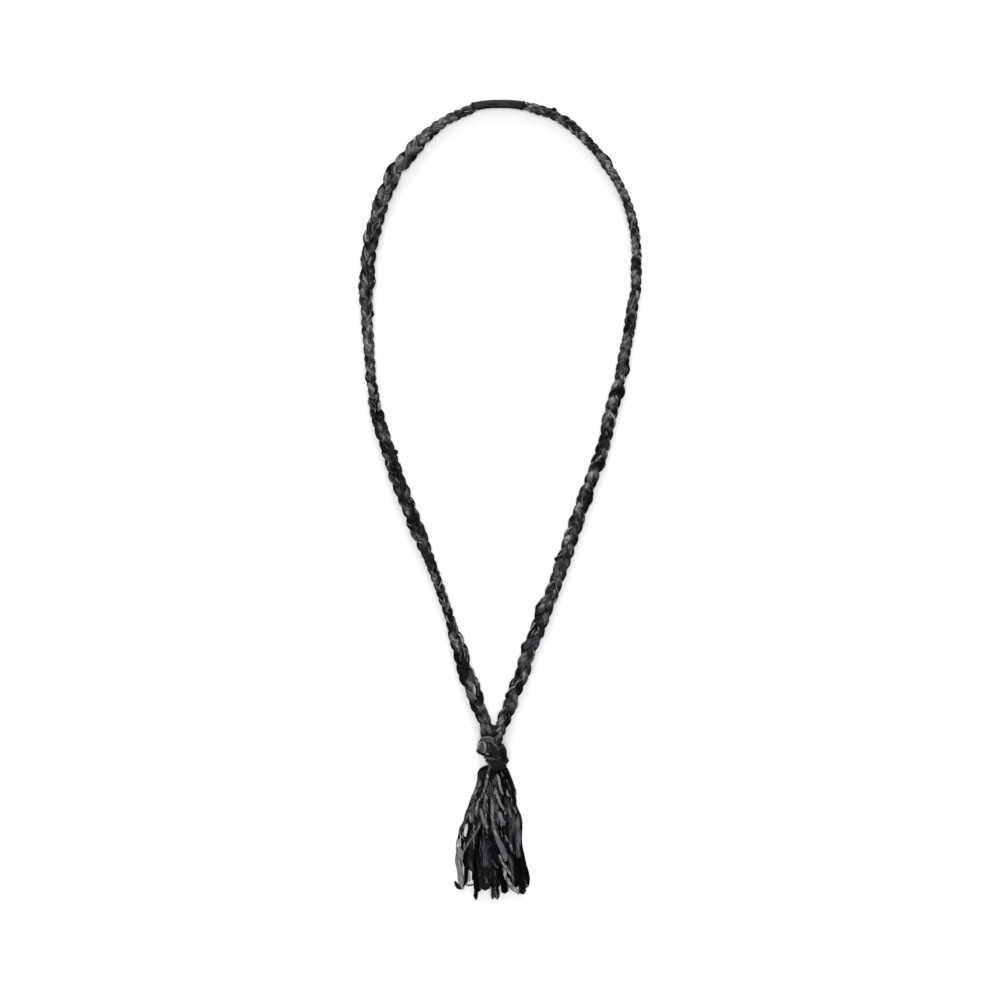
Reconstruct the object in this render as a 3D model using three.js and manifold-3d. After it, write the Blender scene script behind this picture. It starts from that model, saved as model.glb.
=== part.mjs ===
// A long textile necklace lying flat: two three-strand plaits of torn fabric strips run from a
// smooth wrap at the back of the neck to one big overhand knot, and their ends hang on below the
// knot as a tassel. Millimetres, +Z up, +Y towards the back of the neck, the tassel along -Y.
// Everything lies on the plane z = 0, and the origin is the middle of the outline on that plane.

import * as THREE from 'three';
import { mergeVertices } from 'three/addons/utils/BufferGeometryUtils.js';
import Module from 'manifold-3d';

const wasm = await Module();
wasm.setup();

// The gap that neighbouring pieces keep.
const GAP = 0.3;

// A plait is an oval tube, flatter where it is wide: thickness = base + share * width.
const PLAIT_SIDES = 10;
const PLAIT_STEPS = 36;
const PLAIT_BASE_THICKNESS = 2.4;
const PLAIT_THICKNESS_SHARE = 0.42;

// The wrap is a short smooth tube over the joint of the two plaits.
const WRAP_WIDTH = 5.0;
const WRAP_THICKNESS = 4.6;
const WRAP_SIDES = 14;
const WRAP_STEPS = 10;

// The knot's core and the tassel are lofts with flat undersides.
const KNOT_SIDES = 18;
const KNOT_SQUARENESS = 0.8;
const LOBE_SEGMENTS = 20;
const TASSEL_COLUMNS = 16;
const TASSEL_EDGE_HEIGHT = 0.35;

// Centre lines as [x, y], from the middle of the back wrap round to the inside of the knot.
const LEFT_ROUTE = [
  [0, 238], [-9, 237.3], [-18, 235], [-29, 230], [-40, 223], [-51.5, 212], [-64, 195],
  [-73, 172], [-78.5, 149], [-80.6, 125], [-79.3, 101], [-77.4, 77], [-73.8, 53], [-67, 30],
  [-59, 7], [-50.3, -15], [-41.8, -37], [-33.5, -60], [-26.1, -83], [-19.2, -106],
  [-12, -126], [-7, -139],
];
const RIGHT_ROUTE = [
  [0, 238], [16, 236.8], [38, 228], [56, 212], [70.2, 192], [78.7, 170], [81.8, 146],
  [80.8, 122], [77, 99], [72.6, 75], [66.8, 52], [60.6, 28], [52.8, 6], [44.6, -17],
  [36.6, -39.5], [28.1, -62], [19.6, -84.5], [11.7, -107], [6.5, -122], [0.8, -139],
];
const WRAP_HALF_LENGTH = 16;

// Width of each plait; `at` is the distance along its route from the end of the wrap.
const LEFT_WIDTHS = [
  { at: 0, width: 5.4 }, { at: 24, width: 6.1 }, { at: 48, width: 8.4 }, { at: 72, width: 9.2 },
  { at: 96, width: 8.9 }, { at: 108, width: 9.7 }, { at: 130, width: 8.9 },
  { at: 148, width: 7.4 }, { at: 170, width: 6.8 }, { at: 198, width: 6.6 },
  { at: 216, width: 8.1 }, { at: 252, width: 8.5 }, { at: 276, width: 9.0 },
  { at: 292, width: 8.2 }, { at: 312, width: 6.3 }, { at: 346, width: 6.1 },
  { at: 366, width: 8.8 }, { at: 382, width: 9.7 }, { at: 398, width: 8.3 },
  { at: 410, width: 6.9 },
];
const RIGHT_WIDTHS = [
  { at: 0, width: 5.4 }, { at: 58, width: 5.8 }, { at: 70, width: 6.3 }, { at: 84, width: 5.7 },
  { at: 118, width: 5.9 }, { at: 150, width: 6.6 }, { at: 191, width: 7.2 },
  { at: 213, width: 8.4 }, { at: 240, width: 8.1 }, { at: 300, width: 8.4 },
  { at: 320, width: 8.9 }, { at: 345, width: 9.7 }, { at: 370, width: 8.9 },
  { at: 392, width: 8.6 }, { at: 410, width: 7.0 },
];

// The knot's core, from its mouth, where both plaits go in, down to the waist above the tassel.
const KNOT_ROWS = [
  { y: -134.4, left: -10.8, right: 4.2, thickness: 7.2 },
  { y: -138.0, left: -11.2, right: 3.6, thickness: 9.4 },
  { y: -143.0, left: -11.4, right: 2.4, thickness: 11.0 },
  { y: -148.0, left: -12.0, right: 4.0, thickness: 11.6 },
  { y: -152.0, left: -12.2, right: 4.8, thickness: 11.2 },
  { y: -155.5, left: -9.2, right: 4.9, thickness: 10.2 },
  { y: -159.2, left: -7.0, right: 4.0, thickness: 8.4 },
];
// The folds of plait that stand proud of the core: centre, sizes and turn in degrees.
const KNOT_LOBES = [
  { name: 'upper band', x: -6.6, y: -140.9, z: 6.4, long: 11.6, wide: 5.6, high: 11.6, turn: 8 },
  { name: 'left loop', x: -9.2, y: -147.6, z: 6.2, long: 8.0, wide: 9.6, high: 11.2, turn: 0 },
  { name: 'right loop', x: 0.6, y: -150.0, z: 6.6, long: 8.6, wide: 12.0, high: 12.6, turn: 14 },
  { name: 'lower band', x: -1.2, y: -156.4, z: 5.6, long: 14.0, wide: 5.6, high: 10.8, turn: -14 },
];

// The tassel from the waist down; the strips spread sideways and settle flatter as they fall.
const TASSEL_ROWS = [
  { y: -159.5, left: -7.0, right: 4.0, thickness: 8.4 },
  { y: -163.5, left: -12.8, right: 6.4, thickness: 9.6 },
  { y: -172.0, left: -15.0, right: 9.6, thickness: 10.0 },
  { y: -180.0, left: -17.2, right: 11.2, thickness: 9.6 },
  { y: -191.0, left: -22.0, right: 13.6, thickness: 8.6 },
  { y: -203.5, left: -26.2, right: 14.2, thickness: 7.4 },
  { y: -215.5, left: -27.0, right: 15.0, thickness: 6.2 },
  { y: -226.0, left: -26.6, right: 17.6, thickness: 5.2 },
  { y: -232.0, left: -26.0, right: 18.4, thickness: 4.4 },
];
// The ragged hem: how far the strips at each place across the tassel reach past the last row.
const TASSEL_HEM = [
  { x: -26, reach: 0 }, { x: -22.5, reach: 3 }, { x: -18, reach: 0.5 }, { x: -14.5, reach: 6 },
  { x: -10.5, reach: 1 }, { x: -7, reach: 3 }, { x: -4, reach: 8.4 }, { x: -1, reach: 4 },
  { x: 3, reach: 3 }, { x: 9.5, reach: 3.5 }, { x: 15, reach: 6 }, { x: 18.4, reach: 0 },
];

const CHARCOAL = new THREE.Color(0x2b2b2e);
const NEAR_BLACK = new THREE.Color(0x1d1d20);

// Reads a column of a table of rows sorted by `key`, blending smoothly between neighbours.
function readTable(rows, key, column, value) {
  const next = rows.findIndex((row) => row[key] >= value);
  if (next === 0) return rows[0][column];
  if (next < 0) return rows[rows.length - 1][column];
  const low = rows[next - 1];
  const high = rows[next];
  const share = THREE.MathUtils.smoothstep(value, low[key], high[key]);
  return THREE.MathUtils.lerp(low[column], high[column], share);
}

// A rounded outline inside the square -1..1, with one flat facet underneath and one on top.
// A squareness of 1 is an ellipse, and less than 1 fills the corners more.
function roundedSection(sides, squareness) {
  const flat = Math.cos(Math.PI / sides) ** squareness;
  const points = [];
  for (let i = 0; i < sides; i++) {
    const angle = ((i + 0.5) / sides) * 2 * Math.PI - Math.PI / 2;
    const across = Math.sign(Math.cos(angle)) * Math.abs(Math.cos(angle)) ** squareness;
    const up = Math.sign(Math.sin(angle)) * Math.abs(Math.sin(angle)) ** squareness;
    points.push(new THREE.Vector2(across, up / flat));
  }
  return new THREE.Shape(points);
}

// The tassel's outline: flat underneath, domed on top, with low upright edges, and points
// spaced evenly across so that the hem can be ragged.
function fanSection(columns) {
  const points = [];
  for (let i = 0; i <= columns; i++) {
    points.push(new THREE.Vector2((2 * i) / columns - 1, -1));
  }
  for (let i = columns; i >= 0; i--) {
    const across = (2 * i) / columns - 1;
    const dome = Math.sqrt(1 - across ** 2);
    const height = TASSEL_EDGE_HEIGHT + (1 - TASSEL_EDGE_HEIGHT) * dome;
    points.push(new THREE.Vector2(across, 2 * height - 1));
  }
  return new THREE.Shape(points);
}

// A straight extrusion of the section, whose points are then moved by place(across, up, share):
// across and up are -1..1 in the section, and share runs from 0 to 1 along the piece.
function loft(section, steps, place) {
  const geometry = new THREE.ExtrudeGeometry(section, { depth: 1, steps, bevelEnabled: false });
  const position = geometry.getAttribute('position');
  for (let i = 0; i < position.count; i++) {
    const spot = place(position.getX(i), position.getY(i), position.getZ(i));
    position.setXYZ(i, spot.x, spot.y, spot.z);
  }
  return geometry;
}

// three.js geometry to a manifold solid and back, for the cuts.
function toSolid(geometry) {
  const bare = geometry.clone();
  bare.deleteAttribute('normal');
  bare.deleteAttribute('uv');
  const merged = mergeVertices(bare, 1e-4);
  const mesh = new wasm.Mesh({
    numProp: 3,
    vertProperties: new Float32Array(merged.getAttribute('position').array),
    triVerts: new Uint32Array(merged.getIndex().array),
  });
  return new wasm.Manifold(mesh);
}

function toGeometry(solid) {
  const mesh = solid.getMesh();
  const geometry = new THREE.BufferGeometry();
  geometry.setAttribute('position', new THREE.BufferAttribute(new Float32Array(mesh.vertProperties), 3));
  geometry.setIndex(new THREE.BufferAttribute(new Uint32Array(mesh.triVerts), 1));
  geometry.computeVertexNormals();
  return geometry;
}

// The route of one plait as a smooth curve on the ground.
function routeCurve(route) {
  const points = route.map(([x, y]) => new THREE.Vector3(x, y, 0));
  return new THREE.CatmullRomCurve3(points, false, 'centripetal');
}

// An oval tube along part of a route; widthAt and thicknessAt take the distance from its start.
function routeTube(curve, startDistance, endDistance, sides, steps, widthAt, thicknessAt) {
  const length = curve.getLength();
  const across3 = new THREE.Vector3();
  const up3 = new THREE.Vector3(0, 0, 1);
  return loft(roundedSection(sides, 1), steps, (across, up, share) => {
    const distance = share * (endDistance - startDistance);
    const along = (startDistance + distance) / length;
    const point = curve.getPointAt(along);
    across3.crossVectors(up3, curve.getTangentAt(along));
    point.addScaledVector(across3, (across * widthAt(distance)) / 2);
    point.z = ((1 + up) * thicknessAt(distance)) / 2;
    return point;
  });
}

// The two plaits: each starts a gap past the end of the wrap and runs into the knot.
function plaitSolid(route, widths) {
  const curve = routeCurve(route);
  curve.arcLengthDivisions = 2000;
  const start = WRAP_HALF_LENGTH + GAP;
  const widthAt = (distance) => readTable(widths, 'at', 'width', distance);
  const thicknessAt = (distance) => PLAIT_BASE_THICKNESS + PLAIT_THICKNESS_SHARE * widthAt(distance);
  const end = curve.getLength();
  return toSolid(routeTube(curve, start, end, PLAIT_SIDES, PLAIT_STEPS, widthAt, thicknessAt));
}

// The wrap lies over the joint at the back: half of it on each route.
function wrapGeometry() {
  const route = [...LEFT_ROUTE.slice(1, 4).reverse(), ...RIGHT_ROUTE.slice(0, 4)];
  const curve = routeCurve(route);
  curve.arcLengthDivisions = 2000;
  const middle = routeCurve(LEFT_ROUTE.slice(0, 4)).getLength();
  const start = middle - WRAP_HALF_LENGTH;
  const end = middle + WRAP_HALF_LENGTH;
  const width = () => WRAP_WIDTH;
  const thickness = () => WRAP_THICKNESS;
  return routeTube(curve, start, end, WRAP_SIDES, WRAP_STEPS, width, thickness);
}

// A loft down -Y through rows of left edge, right edge and thickness. `grow` makes it larger
// all round, and hem(x) lets the last stretch reach further.
function rowLoft(rows, section, grow, hem) {
  const steps = rows.length - 1;
  return loft(section, steps, (across, up, share) => {
    const place = share * steps;
    const row = Math.min(Math.floor(place), steps - 1);
    const blend = (column) => THREE.MathUtils.lerp(rows[row][column], rows[row + 1][column], place - row);
    const left = blend('left') - grow;
    const right = blend('right') + grow;
    const x = THREE.MathUtils.lerp(left, right, (1 + across) / 2);
    const reach = hem(x) * Math.max(0, place - steps + 1);
    const z = ((1 + up) * (blend('thickness') + 2 * grow)) / 2 - grow;
    return new THREE.Vector3(x, blend('y') - reach, z);
  });
}

// The knot: its core with every lobe joined on, all grown by the same amount.
function knotSolid(grow) {
  const noHem = () => 0;
  let solid = toSolid(rowLoft(KNOT_ROWS, roundedSection(KNOT_SIDES, KNOT_SQUARENESS), grow, noHem));
  for (const lobe of KNOT_LOBES) {
    const ball = new THREE.SphereGeometry(0.5, LOBE_SEGMENTS, LOBE_SEGMENTS / 2);
    ball.scale(lobe.long + 2 * grow, lobe.wide + 2 * grow, lobe.high + 2 * grow);
    ball.rotateZ(THREE.MathUtils.degToRad(lobe.turn));
    ball.translate(lobe.x, lobe.y, lobe.z);
    solid = solid.add(toSolid(ball));
  }
  return solid;
}

function mesh(name, geometry, color) {
  const material = new THREE.MeshStandardMaterial({ color, roughness: 0.95, metalness: 0 });
  const piece = new THREE.Mesh(geometry, material);
  piece.name = name;
  return piece;
}

const hemReach = (x) => readTable(TASSEL_HEM, 'x', 'reach', x);

// The plaits and the tassel stop a gap short of the knot.
const knotRoom = knotSolid(GAP).add(knotSolid(GAP).translate(0, GAP, 0));
const tassel = toSolid(rowLoft(TASSEL_ROWS, fanSection(TASSEL_COLUMNS), 0, hemReach)).subtract(knotRoom);
const leftPlait = plaitSolid(LEFT_ROUTE, LEFT_WIDTHS).subtract(knotRoom);
const rightPlait = plaitSolid(RIGHT_ROUTE, RIGHT_WIDTHS).subtract(knotRoom);

const necklace = new THREE.Group();
necklace.add(mesh('braid_left', toGeometry(leftPlait), CHARCOAL));
necklace.add(mesh('braid_right', toGeometry(rightPlait), CHARCOAL));
necklace.add(mesh('back_wrap', wrapGeometry(), CHARCOAL));
necklace.add(mesh('knot', toGeometry(knotSolid(0)), NEAR_BLACK));
necklace.add(mesh('tassel', toGeometry(tassel), NEAR_BLACK));

export default necklace;
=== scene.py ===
import itertools
import math
from collections import namedtuple

import bmesh
import bpy
import numpy as np
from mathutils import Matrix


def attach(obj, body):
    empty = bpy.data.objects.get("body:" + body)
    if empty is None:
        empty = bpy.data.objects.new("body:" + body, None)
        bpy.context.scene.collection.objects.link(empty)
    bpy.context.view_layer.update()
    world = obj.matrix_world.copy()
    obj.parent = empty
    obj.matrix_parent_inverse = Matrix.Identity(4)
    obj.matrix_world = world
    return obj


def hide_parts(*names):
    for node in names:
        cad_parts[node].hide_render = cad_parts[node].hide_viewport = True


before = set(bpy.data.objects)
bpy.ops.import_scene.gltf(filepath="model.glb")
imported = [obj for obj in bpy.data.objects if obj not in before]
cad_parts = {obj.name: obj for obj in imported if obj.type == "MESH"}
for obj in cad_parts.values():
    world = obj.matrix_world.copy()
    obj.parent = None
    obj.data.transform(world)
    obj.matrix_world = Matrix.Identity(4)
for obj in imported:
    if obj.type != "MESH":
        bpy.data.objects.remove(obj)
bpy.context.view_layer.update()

# ---------------------------------------------------------------- table, light and camera
# The necklace lies flat on a plain white table top. A bright even tent of light is all round it,
# with a soft lamp overhead and a low soft one behind the neck end that throws a faint shadow
# towards the tassel. It is looked at from straight above.
TABLE_SIDE = 3.0
TABLE_WHITE = (0.9, 0.9, 0.9, 1)
TENT_LIGHT = 0.667
LAMP_SOFTNESS = math.radians(30)
Lamp = namedtuple("Lamp", "name strength height")
LAMPS = [
    Lamp("overhead_lamp", 1.40, math.radians(90)),
    Lamp("low_lamp", 3.35, math.radians(12)),
]
CAMERA_HEIGHT = 1.4207
CAMERA_MIDDLE = (0.0, 0.0006)
CAMERA_LENS = 85
CAMERA_SENSOR = 36

scene = bpy.context.scene
scene.view_settings.view_transform = "Standard"


def set_inputs(node, values):
    for name, value in values.items():
        node.inputs[name].default_value = value


tent = bpy.data.worlds.new("light_tent")
tent.use_nodes = True
set_inputs(tent.node_tree.nodes["Background"], {"Color": (1, 1, 1, 1), "Strength": TENT_LIGHT})
scene.world = tent

for lamp in LAMPS:
    light = bpy.data.objects.new(lamp.name, bpy.data.lights.new(lamp.name, "SUN"))
    light.data.energy = lamp.strength
    light.data.angle = LAMP_SOFTNESS
    light.rotation_euler = (lamp.height - math.pi / 2, 0, 0)
    scene.collection.objects.link(light)

table_mesh = bpy.data.meshes.new("table_top")
bm = bmesh.new()
bmesh.ops.create_grid(bm, x_segments=1, y_segments=1, size=TABLE_SIDE / 2)
bm.to_mesh(table_mesh)
bm.free()
table_top = bpy.data.objects.new("table_top", table_mesh)
table_white = bpy.data.materials.new("table_white")
table_white.use_nodes = True
set_inputs(table_white.node_tree.nodes["Principled BSDF"],
           {"Base Color": TABLE_WHITE, "Roughness": 1.0, "Specular IOR Level": 0.0})
table_mesh.materials.append(table_white)
scene.collection.objects.link(table_top)

camera = bpy.data.objects.new("camera", bpy.data.cameras.new("camera"))
camera.data.lens = CAMERA_LENS
camera.data.sensor_width = CAMERA_SENSOR
camera.location = (*CAMERA_MIDDLE, CAMERA_HEIGHT)
scene.collection.objects.link(camera)
scene.camera = camera

# ---------------------------------------------------------------- the two plaits
# Each side of the loop is a flat three-strand plait. A strand is six torn strips and two thin
# yarns, black and charcoal with greys among them, gathered loosely and pulled tight by hand,
# so the strips bulge, roll over and come to the surface one after another.
LEFT_ROUTE = [
    (0.0000, 0.2380), (-0.0090, 0.2373), (-0.0180, 0.2350), (-0.0290, 0.2300), (-0.0400, 0.2230),
    (-0.0515, 0.2120), (-0.0640, 0.1950), (-0.0730, 0.1720), (-0.0785, 0.1490), (-0.0806, 0.1250),
    (-0.0793, 0.1010), (-0.0774, 0.0770), (-0.0738, 0.0530), (-0.0670, 0.0300), (-0.0590, 0.0070),
    (-0.0503, -0.0150), (-0.0418, -0.0370), (-0.0335, -0.0600), (-0.0261, -0.0830),
    (-0.0192, -0.1060), (-0.0120, -0.1260), (-0.0070, -0.1390),
]
RIGHT_ROUTE = [
    (0.0000, 0.2380), (0.0160, 0.2368), (0.0380, 0.2280), (0.0560, 0.2120), (0.0702, 0.1920),
    (0.0787, 0.1700), (0.0818, 0.1460), (0.0808, 0.1220), (0.0770, 0.0990), (0.0726, 0.0750),
    (0.0668, 0.0520), (0.0606, 0.0280), (0.0528, 0.0060), (0.0446, -0.0170), (0.0366, -0.0395),
    (0.0281, -0.0620), (0.0196, -0.0845), (0.0117, -0.1070), (0.0065, -0.1220), (0.0008, -0.1390),
]
WRAP_HALF_LENGTH = 0.016
LEFT_SEED = 35
RIGHT_SEED = 38
PLAIT_STEP = 0.0008
PLAIT_PITCH = 2.5
PLAIT_BASE_THICKNESS = 0.0024
PLAIT_THICKNESS_SHARE = 0.42
CLIMB_REACH = 0.012
# How far a plait goes into the wrap, and the shares of its full size that it has in there.
PLAIT_TUCK = 0.003
TUCKED_WIDTH = 0.9
TUCKED_THICKNESS = 0.75
TUCKED_SPREAD = 0.45
# A strand's half width and half thickness as shares of the plait's, and how it swings across.
STRANDS = 3
STRAND_SHARE = 0.235
STRAND_DEPTH = 0.235
EDGE_FULLNESS = 0.52
EDGE_LINGER = 0.85
STRAND_TWIST = (50, 120)
PLIES = 6
PLY_DEPTH = 0.36
PLY_BREADTH = (0.42, 0.62)
THIN_YARNS = 2
YARN_RADIUS = 0.00036
YARN_TURNS = 3.5
YARN_LIFT = 0.12
TABLE_CLEARANCE = 0.0001
SPAN_STEPS = 24
SEAM = 1e-7
GRAIN_SHIFT = 0.00137

# How uneven hand-laid cloth is: it turns about every so many metres, and strays by so much.
STRAND_SWAY = (0.024, 0.4)
STRAND_UNEVEN = (0.015, 0.12)
PLY_SWAY = (0.014, 0.5)
PLY_SWELL = (0.006, 0.16)
PLY_UNEVEN_WIDTH = (0.005, 0.3)
PLY_UNEVEN_DEPTH = (0.004, 0.3)
YARN_SWAY = (0.010, 0.8)
YARN_UNEVEN = (0.004, 0.25)
# The hairs that stand off the cloth.
PLAIT_FIBRES = 240
FIRST_FIBRE = 0.012
FIBRE_RADIUS = 0.00006
FIBRE_LENGTH = (0.0010, 0.0024)
FIBRE_ROOT = 0.3
FIBRE_LEAN = 1.2
FIBRE_CURL = 0.5
FIBRE_STEPS = 6
UPPER_FLATNESS = 0.4
WEAVE_GRAIN = (0.00022, 0.0012)
WEAVE_RELIEF = 0.0003

# Width of each plait at a distance from the end of the wrap.
Girth = namedtuple("Girth", "at width")
LEFT_GIRTHS = [Girth(*row) for row in (
    (0.0, 0.0058), (0.02, 0.0058), (0.028, 0.007), (0.044, 0.0091), (0.052, 0.0091), (0.06, 0.0085),
    (0.068, 0.0094), (0.084, 0.009), (0.092, 0.0086), (0.1, 0.0099), (0.108, 0.0091), (0.116, 0.0085),
    (0.132, 0.0095), (0.141, 0.0078), (0.15, 0.007), (0.165, 0.0067), (0.18, 0.0062), (0.196, 0.0061),
    (0.204, 0.0075), (0.22, 0.0083), (0.228, 0.0079), (0.24, 0.0083), (0.26, 0.0093), (0.27, 0.0083),
    (0.284, 0.0092), (0.292, 0.0083), (0.3, 0.0067), (0.316, 0.0059), (0.344, 0.0059), (0.35, 0.0072),
    (0.357, 0.0088), (0.366, 0.009), (0.38, 0.0099), (0.396, 0.009), (0.404, 0.0076), (0.412, 0.0076),
)]
RIGHT_GIRTHS = [Girth(*row) for row in (
    (0.0, 0.0056), (0.012, 0.006), (0.02, 0.0056), (0.028, 0.0065), (0.036, 0.0058), (0.052, 0.0053),
    (0.06, 0.0062), (0.068, 0.0055), (0.08, 0.0053), (0.1, 0.0057), (0.116, 0.0057), (0.125, 0.0064),
    (0.14, 0.0062), (0.156, 0.0069), (0.172, 0.0066), (0.188, 0.0074), (0.196, 0.0064), (0.204, 0.008),
    (0.212, 0.0079), (0.22, 0.0085), (0.228, 0.0074), (0.242, 0.0083), (0.26, 0.0075), (0.268, 0.0086),
    (0.276, 0.0079), (0.285, 0.0088), (0.312, 0.0086), (0.328, 0.0083), (0.34, 0.0097), (0.356, 0.009),
    (0.376, 0.0088), (0.388, 0.0083), (0.396, 0.0076), (0.404, 0.0083), (0.412, 0.0079), (0.416, 0.0066),
    (0.421, 0.006), (0.427, 0.0054),
)]
# How far each plait wanders off its route, to the left of the way towards the knot.
Sway = namedtuple("Sway", "at off")
LEFT_SWAYS = [Sway(*row) for row in (
    (0.0, 0.0), (0.016, -0.0004), (0.03, 0.0), (0.052, 0.0003), (0.062, -0.0004), (0.084, -0.0005),
    (0.092, 0.0), (0.102, -0.0006), (0.116, 0.0), (0.132, 0.0007), (0.14, 0.0), (0.148, 0.0005),
    (0.156, -0.0003), (0.166, 0.0), (0.18, 0.0), (0.188, -0.0005), (0.196, 0.0), (0.204, -0.0006),
    (0.214, -0.0001), (0.236, 0.0), (0.252, -0.0004), (0.262, 0.0001), (0.282, -0.0003), (0.292, 0.0),
    (0.34, 0.0), (0.348, -0.0004), (0.36, 0.0002), (0.372, -0.0004), (0.388, 0.0006), (0.396, 0.0),
    (0.406, 0.0005),
)]
RIGHT_SWAYS = [Sway(*row) for row in (
    (0.0, 0.0002), (0.02, 0.0007), (0.04, 0.0004), (0.06, 0.0001), (0.084, 0.0005), (0.104, 0.0006),
    (0.117, 0.0004), (0.124, -0.0001), (0.14, 0.0003), (0.148, -0.0005), (0.17, 0.0), (0.18, -0.0004),
    (0.19, 0.0), (0.204, -0.0004), (0.22, -0.0006), (0.228, 0.0002), (0.244, 0.0), (0.252, -0.0005),
    (0.284, -0.0003), (0.296, 0.0), (0.316, 0.0003), (0.332, 0.0005), (0.34, -0.0002), (0.356, 0.0003),
    (0.364, -0.0006), (0.372, 0.0), (0.38, 0.0005), (0.388, -0.0003), (0.4, -0.0004), (0.41, -0.001),
    (0.418, -0.001), (0.427, -0.0004),
)]

# The dyes of the cloth, and how often each turns up among the plies.
DYES = {
    "black": (0.0019, 0.0018, 0.0021),
    "soot": (0.0055, 0.0055, 0.0062),
    "charcoal": (0.0140, 0.0140, 0.0152),
    "iron": (0.0425, 0.0412, 0.0435),
    "grey": (0.1150, 0.1140, 0.1170),
    "pale": (0.2100, 0.2090, 0.2130),
    "slate": (0.0700, 0.0690, 0.0820),
    "dusk": (0.0100, 0.0098, 0.0122),
    "ink": (0.0034, 0.0040, 0.0052),
    "plum": (0.0330, 0.0305, 0.0345),
    "mauve": (0.1260, 0.1180, 0.1270),
    "umber": (0.0600, 0.0565, 0.0550),
    "mist": (0.1200, 0.1190, 0.1350),
}
PLAIT_RUNS = (0.005, 0.018)
SHADE_OF_RUN = (0.8, 1.25)
PLAIT_MIX = {"black": 0.36, "soot": 0.26, "charcoal": 0.16, "iron": 0.12, "grey": 0.07, "slate": 0.03}
THIN_MIX = {"black": 0.4, "iron": 0.2, "grey": 0.3, "pale": 0.1}
FIBRE_MIX = {"black": 0.35, "charcoal": 0.25, "iron": 0.25, "grey": 0.15}

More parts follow.
